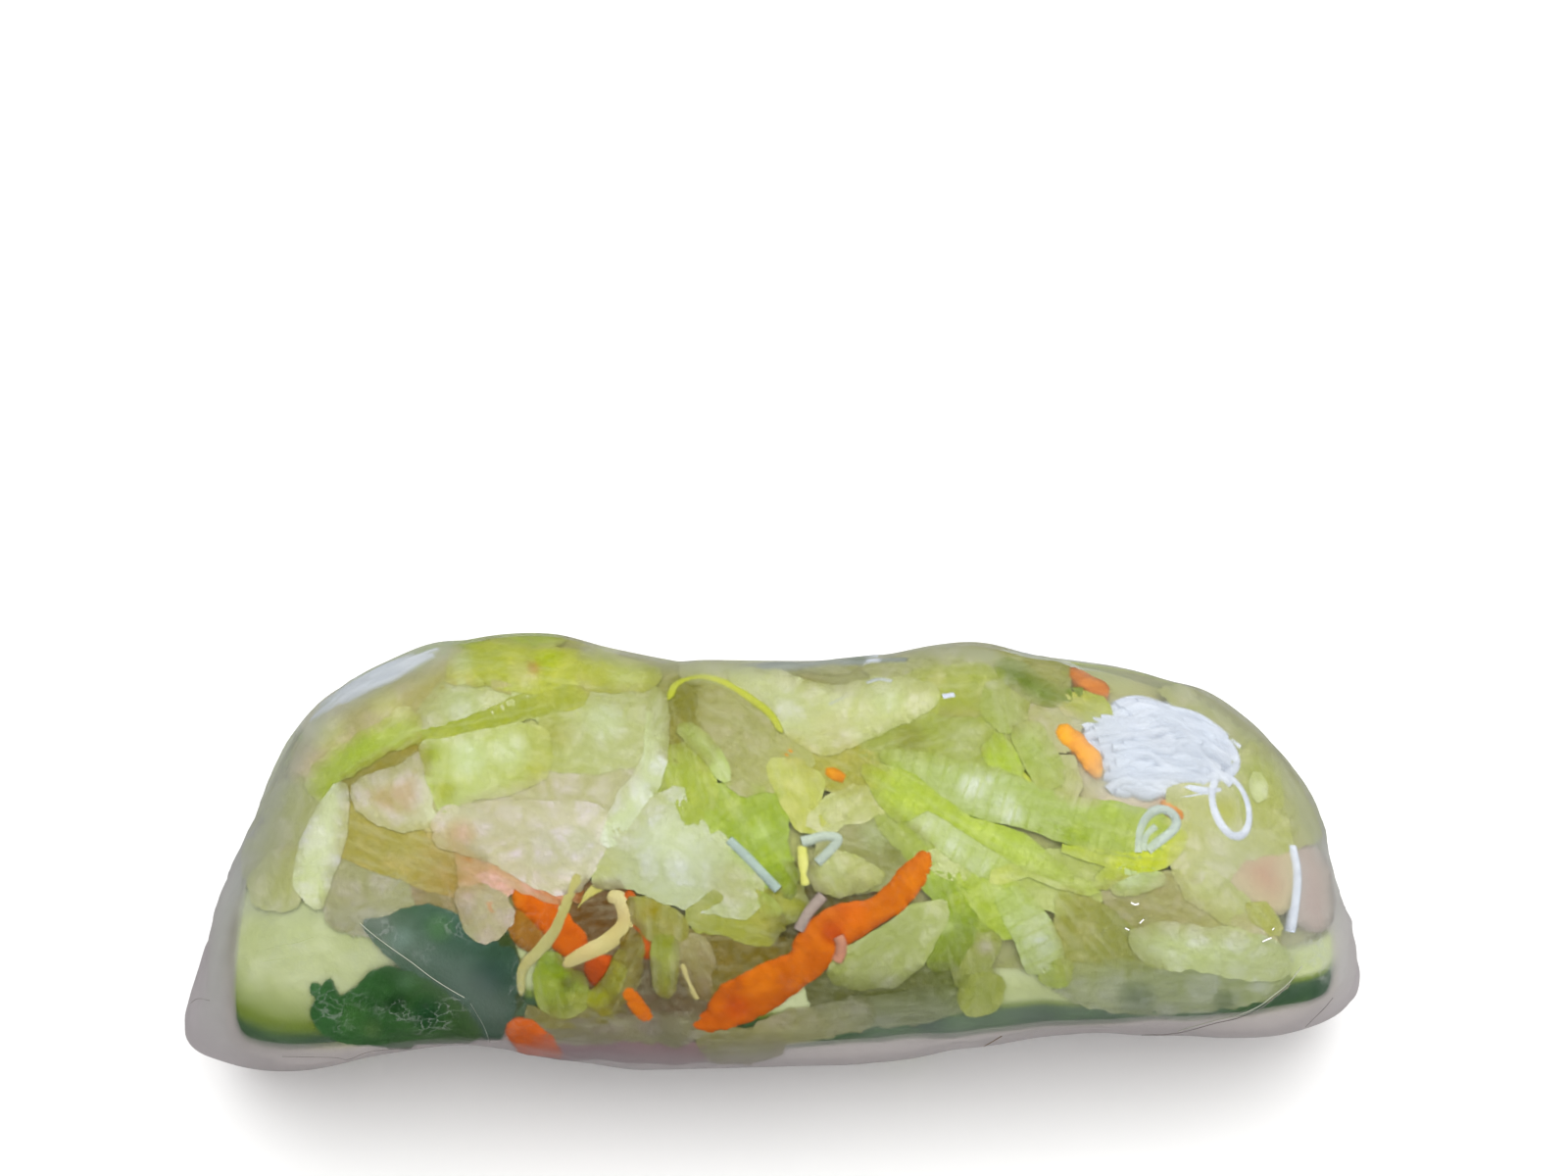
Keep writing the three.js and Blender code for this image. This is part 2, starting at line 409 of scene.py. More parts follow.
lettuceLook = {
    "step": 0.55,
    "perPoint": 8,
    "straight": 0.7,
    "ragged": 0.32,
    "ragScale": 0.8,
    "waves": 0.22,
    "ruffle": 0.13,
    "cells": 0.32,
    "rim": 0.6,
    "rimDrop": 0.0,
    "edgeWidth": 1.6,
    "grow": 0.8,
    "growAll": 0.12,
    "thickness": 0.2,
    "clearAll": 0.14,
    "clearRim": 0.66,
    "clearWidth": 1.5,
    "clearFrom": 0.06,
    "clearTo": 4,
}
leftLeaves = [
    leaf("back beige leaf", 1.1, [beigeLeaf, (190, 182, 118)], -30,
         [(300, 792), (308, 745), (340, 726), (380, 712), (420, 690), (448, 664), (462, 654), (474, 690),
          (444, 714), (404, 732), (362, 748), (330, 770)],
         spots=[(330, 742, 26, (224, 222, 160)), (392, 716, 20, (224, 220, 158))]),
    leaf("top leaf", 0.55, [(198, 205, 92), (194, 198, 84), (194, 200, 96)], 5,
         [(457, 692), (458, 662), (478, 650), (502, 644), (530, 649), (554, 657), (590, 665), (640, 670),
          (676, 682), (662, 700), (612, 702), (580, 694), (545, 704), (505, 697), (480, 694)],
         spots=[(470, 672, 16, paleGreen), (535, 688, 20, (206, 205, 130)), (500, 660, 26, (186, 194, 62)),
                (545, 679, 9, veinBrown), (560, 668, 18, (186, 198, 60)), (640, 690, 22, (200, 208, 118))]),
    leaf("under sheet", 0.95, [(205, 208, 158), (198, 204, 134)], -12,
         [(430, 752), (434, 715), (456, 697), (500, 694), (548, 702), (594, 704), (592, 728), (560, 732),
          (530, 722), (500, 736), (468, 746)], spots=[(470, 716, 26, (204, 212, 164))]),
    leaf("brown vein", 0.45, [veinBrown, (184, 160, 66)], 12,
         [(492, 690), (510, 695), (528, 701), (546, 702), (528, 705), (506, 700)], ruffle=0.05, ragged=0.1),
    leaf("green fold", 0.75, [(180, 190, 88), (170, 178, 68), (182, 186, 92)], -16,
         [(429, 760), (432, 748), (468, 738), (500, 724), (530, 710), (562, 700), (600, 700), (588, 718),
          (548, 724), (512, 740), (480, 750), (452, 760)]),
    leaf("square leaf", 0.4, [(204, 212, 140), (202, 210, 138), (188, 192, 104)], 5,
         [(428, 758), (455, 752), (490, 744), (530, 738), (557, 742), (563, 770), (557, 792), (520, 808),
          (490, 813), (465, 822), (449, 826), (440, 806), (433, 784)], ragged=0.15, ruffle=0.25,
         spots=[(478, 770, 24, (210, 220, 170)), (520, 764, 24, (210, 218, 164)),
                (454, 808, 17, (176, 184, 36)), (440, 768, 12, (176, 190, 66)),
                (548, 786, 14, (196, 198, 104))], crossed=0.25),
    leaf("green band", 0.5, [(186, 196, 106), (182, 200, 84), (200, 206, 120)], -32,
         [(312, 802), (318, 780), (340, 764), (360, 751), (386, 737), (412, 719), (427, 730), (426, 754),
          (400, 764), (375, 777), (356, 790), (340, 800), (325, 818)], edge=(178, 194, 72), edgeShare=0.4),
    leaf("band shadow", 1.3, [(156, 148, 82), (164, 152, 74)], -28,
         [(352, 804), (372, 782), (400, 770), (426, 756), (432, 780), (404, 786), (384, 794), (362, 812)]),
    leaf("left rib", 0.3, [(220, 224, 192), (234, 238, 222), (222, 230, 170)], 100,
         [(331, 810), (342, 796), (353, 800), (355, 820), (352, 850), (343, 880), (335, 902), (325, 930),
          (318, 927), (308, 918), (298, 904), (300, 880), (306, 856), (318, 830)], ragged=0.12, ruffle=0.15,
         spots=[(336, 800, 14, (222, 226, 206))], crossed=0.35),
    leaf("beige flap", 0.55, [(196, 176, 130), (204, 184, 142), (208, 200, 158)], 60,
         [(357, 804), (378, 790), (404, 782), (430, 768), (438, 798), (437, 822), (444, 838), (422, 845),
          (400, 844), (384, 838), (367, 826)], edge=(228, 230, 212), edgeShare=0.85, edgeWidth=2.4,
         ruffle=0.2),
    # painted shade: the olive piece below the flap is coloured for the shade that falls there
    leaf("olive shade behind flap", 1.5, [(184, 174, 96), (188, 176, 102), (180, 144, 86)], 20,
         [(352, 818), (380, 836), (410, 846), (434, 846), (450, 862), (478, 880), (484, 910), (440, 900),
          (402, 886), (366, 872), (348, 860)]),
    leaf("dull sheet", 1.9, [(184, 180, 144), (176, 176, 138)], 10,
         [(345, 868), (390, 880), (440, 895), (480, 915), (474, 952), (430, 948), (384, 948), (342, 934)]),
    leaf("far left leaf", 1.0, [(190, 192, 136), (184, 184, 142)], 110,
         [(266, 830), (286, 800), (312, 798), (320, 816), (312, 842), (302, 872), (272, 884), (250, 890),
          (252, 856)]),
    leaf("speckled leaf", 0.7, [(192, 192, 136), (208, 210, 150)], 100,
         [(258, 922), (252, 896), (272, 874), (300, 862), (304, 900), (296, 926)],
         spots=[(286, 852, 16, (190, 182, 152))]),
]
middleLeaves = [
    leaf("mid leaf", 0.85, [(188, 192, 112), (196, 200, 148), (196, 198, 144)], 10,
         [(556, 730), (590, 703), (645, 700), (676, 706), (678, 740), (664, 764), (648, 776), (604, 784),
          (560, 780)], spots=[(617, 734, 24, (208, 214, 176)), (566, 745, 22, (178, 180, 98))]),
    leaf("standing rib", 0.35, [(200, 206, 150), (216, 222, 190), (222, 229, 208)], 108,
         [(662, 700), (678, 704), (681, 750), (679, 776), (672, 800), (656, 820), (641, 842), (626, 864),
          (613, 858), (622, 830), (633, 806), (647, 788), (658, 768), (660, 735)], ragged=0.15, ruffle=0.2),
    leaf("beige band", 1.1, [(196, 188, 150), (198, 194, 160)], 5,
         [(470, 822), (520, 806), (560, 792), (606, 780), (648, 780), (642, 802), (624, 824), (560, 826)]),
    leaf("pale fringe", 0.4, [(214, 202, 178), (216, 206, 184), (222, 216, 200)], 20,
         [(440, 838), (452, 826), (480, 820), (530, 816), (600, 818), (626, 832), (618, 862), (606, 888),
          (592, 908), (562, 912), (524, 892), (492, 876), (462, 869), (445, 860)], ragged=0.3, ruffle=0.3,
         spots=[(470, 830, 24, (222, 214, 196)), (560, 872, 30, (208, 202, 176)),
                (470, 850, 20, (216, 184, 150)), (590, 858, 18, (200, 200, 150))]),
    leaf("big pale leaf", 0.45, [(200, 202, 150), (212, 218, 188), (204, 208, 158)], 30,
         [(598, 884), (612, 858), (640, 838), (664, 812), (694, 800), (704, 830), (738, 852), (762, 880),
          (780, 908), (764, 938), (738, 934), (700, 928), (670, 918), (640, 904), (612, 906)], ragged=0.3,
         ruffle=0.4,
         spots=[(680, 862, 36, (220, 226, 206)), (614, 880, 22, (206, 208, 146)),
                (700, 815, 26, (206, 212, 178)), (746, 900, 26, (206, 204, 160)),
                (686, 895, 26, (212, 218, 190))], crossed=0.2),
    leaf("blushed piece", 0.75, [(214, 176, 140), (222, 180, 150), (212, 120, 60)], 25,
         [(468, 872), (500, 876), (540, 888), (580, 900), (596, 916), (560, 918), (524, 904), (506, 926),
          (484, 930), (472, 905)], spots=[(560, 892, 24, (216, 130, 70)), (478, 872, 8, (206, 120, 40))]),
    leaf("beige ruffle", 0.5, [(196, 186, 160), (204, 190, 162)], 60,
         [(464, 912), (490, 904), (516, 916), (524, 934), (507, 958), (488, 964), (474, 942)], ruffle=0.5),
    # painted shade: a deep dark piece stands for the shade in a corner
    leaf("shaded corner", 1.6, [(140, 136, 62), (156, 152, 76)], 80,
         [(676, 712), (700, 696), (724, 712), (728, 756), (714, 776), (690, 770), (674, 752)]),
    leaf("speckled leaf", 0.9, [(184, 180, 128), (178, 176, 122), (190, 190, 120)], 30,
         [(716, 700), (745, 706), (780, 730), (812, 752), (826, 776), (800, 800), (756, 804), (730, 780),
          (716, 745)]),
    leaf("bright column", 0.7, [(190, 202, 108), (180, 192, 88), (172, 186, 78)], 80,
         [(676, 762), (700, 758), (724, 780), (730, 808), (722, 834), (706, 842), (692, 818), (680, 790)]),
    leaf("light shred", 0.45, [(190, 206, 122), (196, 208, 140)], 55,
         [(690, 742), (702, 736), (722, 750), (738, 770), (746, 792), (736, 796), (722, 776), (706, 760)],
         ragged=0.1, ruffle=0.1),
    leaf("bright ruffle", 0.75, [(176, 192, 88), (162, 184, 62), (168, 190, 72)], 60,
         [(722, 806), (750, 798), (784, 804), (802, 828), (800, 862), (812, 892), (806, 912), (780, 902),
          (756, 874), (734, 856), (722, 832)], ruffle=0.8, edge=(186, 204, 110), edgeShare=0.35,
         spots=[(745, 820, 16, (182, 196, 96)), (790, 890, 16, (150, 174, 40)),
                (776, 850, 14, (186, 206, 110))], crossed=0.6),
    leaf("low ruffle", 1.0, [(168, 190, 90), (176, 194, 104)], 20,
         [(738, 874), (770, 884), (800, 904), (816, 908), (812, 926), (788, 926), (758, 916), (734, 900)],
         ruffle=0.6),
    leaf("lemon leaf", 0.6, [(204, 208, 164), (216, 218, 164), (214, 216, 160)], -20,
         [(742, 684), (780, 680), (820, 694), (858, 700), (896, 690), (930, 692), (956, 700), (956, 716),
          (930, 730), (900, 744), (874, 756), (842, 766), (816, 756), (796, 736), (770, 712)],
         spots=[(800, 720, 26, (214, 218, 180)), (850, 742, 24, (216, 214, 168)),
                (906, 710, 22, (218, 224, 172))]),
    leaf("upper lemon sheet", 1.1, [(196, 198, 150), (196, 196, 132)], 0,
         [(700, 676), (760, 672), (800, 690), (790, 706), (740, 696), (704, 690)]),
    leaf("centre shred", 0.7, [(206, 208, 128), (200, 202, 104)], 70,
         [(786, 776), (812, 774), (838, 796), (834, 826), (844, 848), (818, 846), (806, 826), (790, 800)]),
    leaf("pale disc", 0.65, [(206, 208, 146), (202, 204, 140)], -20,
         [(822, 838), (840, 818), (870, 802), (902, 812), (904, 826), (872, 836), (842, 846)]),
    leaf("right of bits", 1.2, [(188, 182, 96), (178, 176, 84)], 30,
         [(806, 750), (850, 752), (876, 764), (900, 790), (888, 812), (860, 804), (830, 790), (808, 776)]),
    leaf("grey green leaf", 1.1, [(172, 172, 120), (158, 158, 100), (176, 178, 122)], 20,
         [(846, 846), (880, 832), (910, 830), (940, 852), (948, 872), (920, 892), (884, 904), (852, 908),
          (836, 884)], spots=[(896, 850, 24, (178, 184, 138)), (915, 868, 18, (150, 152, 90))]),
    leaf("leaf by carrot", 0.6, [(200, 204, 140), (192, 192, 122)], 60,
         [(826, 886), (846, 868), (872, 874), (900, 892), (884, 906), (852, 914), (832, 904)],
         spots=[(850, 888, 16, (206, 210, 156))]),
    leaf("small leaf", 0.6, [(170, 176, 98), (182, 184, 88), (176, 172, 84)], 20,
         [(700, 934), (722, 914), (758, 906), (786, 918), (800, 940), (790, 962), (764, 963), (738, 952),
          (712, 950)]),
    leaf("twin leaf", 0.8, [(180, 184, 84), (172, 176, 78)], 20,
         [(780, 914), (800, 904), (816, 908), (820, 926), (810, 940), (794, 938)]),
    leaf("beige under carrot", 1.0, [(142, 126, 66), (136, 118, 58)], 0,
         [(694, 958), (730, 952), (774, 966), (808, 964), (800, 984), (758, 992), (724, 1018), (706, 1014),
          (696, 990)], spots=[(706, 980, 14, (176, 164, 118))]),
    # painted shade: a dark piece stands for the shade in a hollow
    leaf("shaded hollow", 2.6, [(96, 88, 48), (110, 104, 60)], 0,
         [(806, 898), (850, 902), (870, 916), (840, 960), (810, 966), (796, 940)]),
]
fanLeaves = [
    leaf("fan back", 1.1, [(170, 176, 96), (172, 184, 92)], -20,
         [(876, 760), (905, 744), (940, 730), (965, 716), (1004, 704), (1014, 730), (1036, 760),
          (1040, 784), (1000, 784), (950, 772), (905, 772)],
         spots=[(985, 752, 24, (188, 196, 132)), (930, 752, 20, (156, 160, 80))], crossed=0.3),
    leaf("fan top green", 0.9, [(184, 188, 100), (178, 188, 88)], -5,
         [(912, 694), (950, 682), (1000, 678), (1018, 688), (1004, 704), (1000, 724), (960, 722),
          (940, 712)], spots=[(956, 690, 12, (200, 200, 122))]),
    leaf("top sheet", 1.5, [(188, 188, 144), (186, 188, 140)], 0,
         [(890, 672), (940, 668), (1000, 664), (1040, 670), (1020, 690), (960, 690), (905, 692)]),
    leaf("fan broad strip", 0.5, [(180, 194, 102), (190, 204, 140), (182, 198, 112), (184, 198, 92)], 17,
         [(896, 766), (935, 766), (980, 776), (1020, 784), (1050, 798), (1086, 812), (1140, 820),
          (1186, 832), (1204, 848), (1192, 870), (1160, 874), (1120, 868), (1080, 856), (1044, 842),
          (1000, 832), (966, 818), (930, 796)], edge=(166, 184, 70), edgeShare=0.45, edgeWidth=0.8,
         ragged=0.15,
         spots=[(996, 800, 22, (214, 222, 190)), (1028, 826, 18, (216, 224, 192)),
                (1100, 850, 18, (170, 190, 70)), (1134, 826, 14, (180, 200, 84))], crossed=0.8),
    leaf("fan vein strip", 0.38, [(184, 200, 78), (194, 212, 96), (198, 214, 114)], 30,
         [(878, 782), (900, 780), (930, 788), (960, 812), (990, 834), (1020, 842), (1046, 852), (1068, 870),
          (1098, 896), (1084, 900), (1052, 888), (1040, 882), (1008, 862), (978, 842), (948, 824),
          (918, 838), (898, 820)], edge=(166, 182, 66), edgeShare=0.4, edgeWidth=0.7, ragged=0.1,
         ruffle=0.15, crossed=0.7),
    leaf("fan third strip", 0.6, [(194, 206, 134), (200, 212, 150), (190, 206, 108)], 30,
         [(924, 836), (944, 824), (966, 832), (992, 848), (1016, 864), (1042, 884), (1024, 898), (992, 888),
          (964, 866), (942, 850)], edge=(158, 174, 66), edgeShare=0.4, edgeWidth=0.7,
         spots=[(950, 836, 16, (210, 218, 176)), (975, 856, 16, (210, 220, 176)),
                (998, 884, 16, (206, 216, 170))], crossed=0.8),
    leaf("fan low strip", 0.8, [(176, 184, 108), (174, 188, 90), (168, 186, 84)], 50,
         [(884, 806), (902, 814), (932, 846), (962, 872), (988, 892), (1004, 914), (1014, 936), (1004, 952),
          (990, 944), (984, 918), (958, 900), (928, 872), (900, 842)], edge=(150, 160, 66), edgeShare=0.4,
         edgeWidth=0.8, crossed=0.6),
    leaf("steep strip", 0.4, [(190, 206, 118), (200, 212, 158), (196, 206, 150)], 65,
         [(1016, 914), (1040, 904), (1060, 924), (1076, 948), (1086, 974), (1080, 990), (1052, 996),
          (1045, 985), (1037, 960), (1024, 936)], edge=(176, 194, 96), edgeShare=0.35, edgeWidth=0.8,
         ragged=0.1, ruffle=0.2, spots=[(1056, 946, 16, (208, 216, 174)), (1068, 966, 14, (206, 214, 186))],
         crossed=0.8),
    leaf("steep second", 0.65, [(188, 204, 96), (184, 202, 90)], 60,
         [(984, 886), (1012, 890), (1042, 896), (1022, 914), (1034, 944), (1030, 958), (1006, 938),
          (990, 916), (978, 900)], spots=[(1012, 908, 14, (204, 216, 140))], crossed=0.6),
    leaf("low strip", 1.0, [(180, 192, 94), (174, 180, 104), (170, 176, 112)], 80,
         [(978, 912), (1000, 932), (1012, 946), (1016, 966), (1006, 986), (1014, 1006), (1000, 1014),
          (984, 1006), (974, 980), (980, 950)], spots=[(1006, 968, 12, (190, 186, 150))], crossed=0.4),
    leaf("lowest curl", 0.8, [(170, 178, 108), (172, 180, 82)], 90,
         [(984, 1004), (1004, 998), (1022, 1006), (1018, 1030), (996, 1038), (984, 1028)],
         edge=(180, 186, 84), edgeShare=0.5),
    leaf("green tip", 0.5, [(176, 188, 98), (168, 184, 84)], 80,
         [(1062, 994), (1080, 982), (1094, 986), (1092, 1004), (1076, 1010), (1062, 1004)], ragged=0.2),
    leaf("ribbed leaf", 0.45, [(176, 182, 112), (188, 196, 130), (196, 204, 140)], -38,
         [(846, 992), (856, 974), (882, 960), (908, 944), (932, 926), (964, 920), (968, 936), (954, 962),
          (940, 986), (914, 1006), (878, 1010), (852, 1006)], ragged=0.15, ruffle=0.2, rib=1,
         spots=[(956, 924, 14, (214, 218, 162)), (900, 1000, 18, (196, 200, 156))], crossed=0.3),
    leaf("green by rib", 0.75, [(176, 196, 92), (158, 180, 74), (140, 152, 74)], 75,
         [(936, 888), (966, 884), (988, 904), (994, 932), (990, 958), (976, 988), (950, 988), (954, 956),
          (968, 932), (952, 914)], spots=[(976, 920, 14, (170, 190, 70)), (966, 944, 12, (186, 202, 120))],
         crossed=0.5),
    leaf("pale by tip", 0.7, [(206, 212, 150), (196, 206, 130)], 60,
         [(950, 866), (972, 868), (990, 884), (984, 900), (962, 892), (950, 882)]),
    leaf("curled band", 0.5, [(206, 212, 120), (200, 210, 130), (200, 214, 110)], 8,
         [(1004, 896), (1024, 886), (1052, 880), (1080, 892), (1112, 902), (1134, 904), (1112, 912),
          (1078, 904), (1050, 892), (1024, 900)], ragged=0.1, ruffle=0.1),
    leaf("vivid hook", 0.38, [(202, 216, 90), (202, 214, 74), (204, 210, 70)], 0,
         [(1070, 862), (1110, 866), (1150, 872), (1176, 866), (1200, 844), (1213, 850), (1206, 870),
          (1188, 886), (1160, 890), (1140, 900), (1122, 908), (1116, 898), (1130, 884), (1100, 874)],
         ragged=0.12, ruffle=0.15, spots=[(1122, 900, 10, (164, 180, 30))]),
    leaf("bright leaf", 0.45, [(204, 222, 150), (206, 224, 168)], 5,
         [(1130, 898), (1150, 884), (1176, 888), (1194, 898), (1170, 910), (1142, 914)],
         edge=(186, 200, 80), edgeShare=0.4),
    leaf("dull gap", 1.7, [(194, 204, 128), (192, 200, 118)], 0,
         [(1040, 894), (1080, 876), (1130, 876), (1130, 904), (1100, 924), (1060, 916)]),
    leaf("green peak", 0.35, [(116, 136, 0), (112, 134, 0), (140, 154, 24)], 25,
         [(1014, 673), (1030, 670), (1046, 676), (1062, 690), (1084, 701), (1108, 702), (1094, 712),
          (1076, 720), (1054, 714), (1036, 702), (1022, 690)], ragged=0.12, ruffle=0.15,
         spots=[(1062, 704, 16, (120, 144, 6))]),
    leaf("peak tip", 0.45, [(184, 182, 92), (192, 198, 72)], 15,
         [(1078, 712), (1104, 704), (1132, 714), (1131, 734), (1108, 732), (1088, 726)]),
    leaf("clear leaf", 0.45, [(184, 190, 128), (184, 194, 124)], 80,
         [(1000, 722), (1008, 696), (1030, 690), (1050, 712), (1044, 738), (1024, 746)], ragged=0.15,
         ruffle=0.15, edge=(170, 182, 96), edgeShare=0.4, crossed=0.3),
    leaf("vivid small", 0.55, [(178, 196, 70), (190, 210, 96)], 70,
         [(1004, 766), (1018, 748), (1032, 762), (1044, 788), (1024, 794)], ruffle=0.2),
    leaf("veined strip", 0.32, [(190, 200, 126), (180, 194, 108), (182, 192, 110)], 55,
         [(1030, 742), (1060, 734), (1076, 762), (1088, 790), (1078, 803), (1060, 802), (1044, 776)],
         ragged=0.08, ruffle=0.1, rib=1, edge=(164, 184, 70), edgeShare=0.35, edgeWidth=0.7, crossed=0.5),
    leaf("beige under noodles", 1.3, [(200, 194, 150), (206, 196, 160)], 0,
         [(1050, 730), (1090, 724), (1110, 770), (1130, 800), (1100, 816), (1084, 800), (1070, 760)],
         sunk=0.5),
]
rightLeaves = [
    leaf("yellow field", 1.0, [(200, 200, 126), (206, 206, 156), (196, 198, 130)], 20,
         [(1196, 806), (1230, 800), (1262, 796), (1284, 830), (1312, 836), (1316, 862), (1270, 872),
          (1246, 906), (1212, 900), (1196, 872), (1206, 846)],
         spots=[(1250, 826, 18, (196, 196, 96)), (1220, 870, 24, (206, 206, 150))]),
    leaf("right shoulder leaf", 1.2, [(188, 188, 126), (190, 192, 140), (186, 186, 130)], 55,
         [(1184, 694), (1240, 718), (1290, 750), (1316, 780), (1328, 812), (1346, 850), (1322, 858),
          (1300, 820), (1276, 776), (1256, 744), (1222, 724)], spots=[(1286, 770, 22, (180, 186, 88))]),
    leaf("shoulder green", 0.9, [(186, 194, 104), (190, 192, 116)], 80,
         [(1266, 772), (1286, 766), (1304, 784), (1308, 812), (1300, 838), (1276, 836), (1268, 804)],
         edge=(192, 194, 130), edgeShare=0.8, edgeWidth=2.4),
    leaf("bright bit", 0.2, [(246, 250, 222), (240, 246, 226)], 80,
         [(1278, 788), (1286, 786), (1295, 800), (1292, 818), (1283, 817), (1277, 804)], ragged=0.05,
         ruffle=0.05),
    leaf("right pale leaf", 0.5, [(204, 212, 162), (210, 218, 172), (196, 202, 162)], 10,
         [(1152, 954), (1180, 944), (1222, 946), (1262, 950), (1300, 962), (1324, 984), (1304, 1002),
          (1262, 998), (1222, 990), (1180, 988), (1160, 974)], spots=[(1220, 964, 34, (214, 222, 178))]),
    leaf("right dull leaf", 1.5, [(178, 174, 120), (182, 176, 122), (192, 190, 136)], 15,
         [(1134, 912), (1164, 902), (1210, 900), (1252, 914), (1270, 940), (1262, 956), (1210, 952),
          (1150, 950)]),
    leaf("yellow slope", 0.9, [(204, 206, 140), (198, 202, 138)], 40,
         [(1200, 884), (1232, 890), (1262, 912), (1290, 936), (1280, 952), (1250, 936), (1216, 912)]),
    leaf("yellow bit", 0.5, [(188, 188, 84), (190, 190, 108)], 50,
         [(1272, 924), (1290, 920), (1304, 936), (1312, 954), (1296, 952), (1282, 940)]),
    leaf("cream by glint", 0.7, [(204, 196, 158), (200, 194, 152)], 30,
         [(1262, 940), (1280, 938), (1298, 952), (1304, 968), (1284, 970), (1266, 962)]),
    leaf("olive slope", 1.3, [(172, 170, 92), (168, 170, 96), (160, 164, 98)], 50,
         [(1086, 916), (1130, 936), (1162, 966), (1184, 990), (1150, 996), (1112, 992), (1090, 992),
          (1084, 950)]),
]
lowLeaves = [
    leaf("right low sheet", 0.8, [(168, 174, 130), (164, 172, 134), (170, 178, 142)], 3,
         [(1084, 990), (1130, 986), (1190, 984), (1250, 990), (1310, 996), (1316, 1006), (1290, 1020),
          (1240, 1030), (1180, 1034), (1120, 1030), (1080, 1012)], ragged=0.5,
         spots=[(1160, 1022, 24, (118, 132, 98)), (1250, 1026, 16, (120, 134, 102))]),
    leaf("curly leaf", 0.45, [(146, 172, 22), (158, 176, 40), (150, 150, 80)], 85,
         [(545, 998), (556, 975), (568, 976), (578, 990), (592, 998), (598, 1010), (600, 1026), (586, 1038),
          (566, 1040), (552, 1030), (546, 1014)], ragged=0.12, ruffle=0.4, edge=(190, 198, 110),
         edgeShare=0.4, edgeWidth=1.0, crossed=0.6,
         spots=[(560, 1010, 14, (170, 184, 84)), (590, 1022, 12, (176, 180, 80)),
                (578, 1006, 9, (120, 124, 20))]),
    leaf("curl fold", 0.35, [(186, 192, 80), (168, 170, 40), (180, 180, 60)], 120,
         [(630, 972), (637, 966), (639, 990), (632, 1014), (618, 1028), (602, 1032), (598, 1020),
          (612, 1006), (622, 990)], ragged=0.08, ruffle=0.1),
    leaf("curl lining", 0.8, [(150, 138, 64), (160, 150, 70)], 120,
         [(636, 950), (650, 958), (652, 990), (644, 1014), (626, 1032), (606, 1036), (626, 1012),
          (638, 988)]),
    leaf("curl base", 0.9, [(150, 140, 84), (142, 132, 80)], 10,
         [(540, 1034), (560, 1040), (600, 1036), (636, 1030), (630, 1046), (590, 1054), (560, 1056),
          (546, 1048)]),
    leaf("green stub", 0.4, [(158, 164, 66), (176, 182, 88), (166, 164, 44)], 90,
         [(666, 958), (684, 956), (692, 966), (691, 990), (688, 1014), (677, 1022), (668, 1010),
          (664, 984)], ragged=0.12, ruffle=0.15, spots=[(684, 984, 8, (204, 210, 120))]),
    leaf("stub behind", 0.7, [(176, 174, 96), (166, 160, 84)], 90,
         [(640, 920), (664, 918), (690, 934), (700, 950), (690, 962), (664, 958), (650, 944)],
         spots=[(664, 930, 12, (176, 160, 60))]),
    # painted shade: these two dark pieces stand for the shade in hollows
    leaf("loop shaded hollow", 1.9, [(128, 94, 44), (116, 88, 46)], 0,
         [(588, 915), (625, 912), (640, 940), (636, 980), (612, 1004), (590, 990), (578, 950)]),
    leaf("low shaded hollow", 1.9, [(118, 102, 78), (126, 108, 84)], 0,
         [(636, 990), (700, 1000), (716, 1030), (692, 1046), (650, 1042), (632, 1020)]),
    leaf("gap by square", 0.8, [(190, 184, 130), (186, 184, 118)], 0,
         [(428, 796), (448, 800), (462, 822), (456, 840), (436, 844), (428, 824)]),
    leaf("gap by rib", 0.8, [(176, 184, 104), (180, 188, 112)], 0,
         [(662, 776), (690, 776), (694, 806), (682, 822), (660, 822)]),
    leaf("gap by orange", 0.9, [(196, 190, 146), (196, 194, 148)], 0,
         [(1036, 700), (1080, 712), (1100, 732), (1092, 760), (1070, 760), (1046, 736)]),
    leaf("gap by veined", 0.9, [(186, 192, 120), (188, 192, 124)], 0,
         [(1060, 776), (1092, 776), (1100, 806), (1076, 812), (1058, 800)]),
    leaf("gap by blush", 1.7, [(164, 150, 110), (160, 146, 100)], 0,
         [(436, 860), (480, 866), (486, 900), (474, 932), (440, 930), (428, 900)]),
    leaf("cream fringe", 0.6, [(186, 176, 130), (170, 156, 110), (160, 140, 90)], 60,
         [(692, 958), (716, 956), (728, 976), (722, 1000), (726, 1016), (714, 1020), (702, 1004),
          (696, 984)], ragged=0.3, ruffle=0.5),
    leaf("base strip", 0.9, [(140, 132, 108), (152, 142, 120), (150, 146, 118)], 3,
         [(536, 1044), (580, 1050), (640, 1042), (700, 1040), (720, 1052), (690, 1064), (640, 1060),
          (590, 1064), (552, 1064)]),
    leaf("base lump", 0.8, [(150, 142, 102), (154, 146, 112)], 0,
         [(716, 1062), (750, 1056), (790, 1058), (800, 1074), (770, 1084), (728, 1084)]),
    leaf("base pale strip", 0.8, [(164, 156, 112), (166, 162, 126), (160, 160, 132)], -8,
         [(772, 1054), (800, 1040), (850, 1030), (884, 1024), (890, 1044), (850, 1058), (800, 1064)]),
    leaf("low dark leaf", 1.8, [(112, 112, 66), (122, 130, 76)], -5,
         [(830, 1002), (870, 1010), (920, 1010), (960, 992), (980, 1000), (960, 1026), (900, 1030),
          (846, 1034)]),
    leaf("low pale leaf", 1.0, [(144, 148, 114), (138, 146, 110)], -5,
         [(866, 1026), (920, 1022), (970, 1014), (984, 1026), (950, 1040), (900, 1046), (866, 1044)]),
]
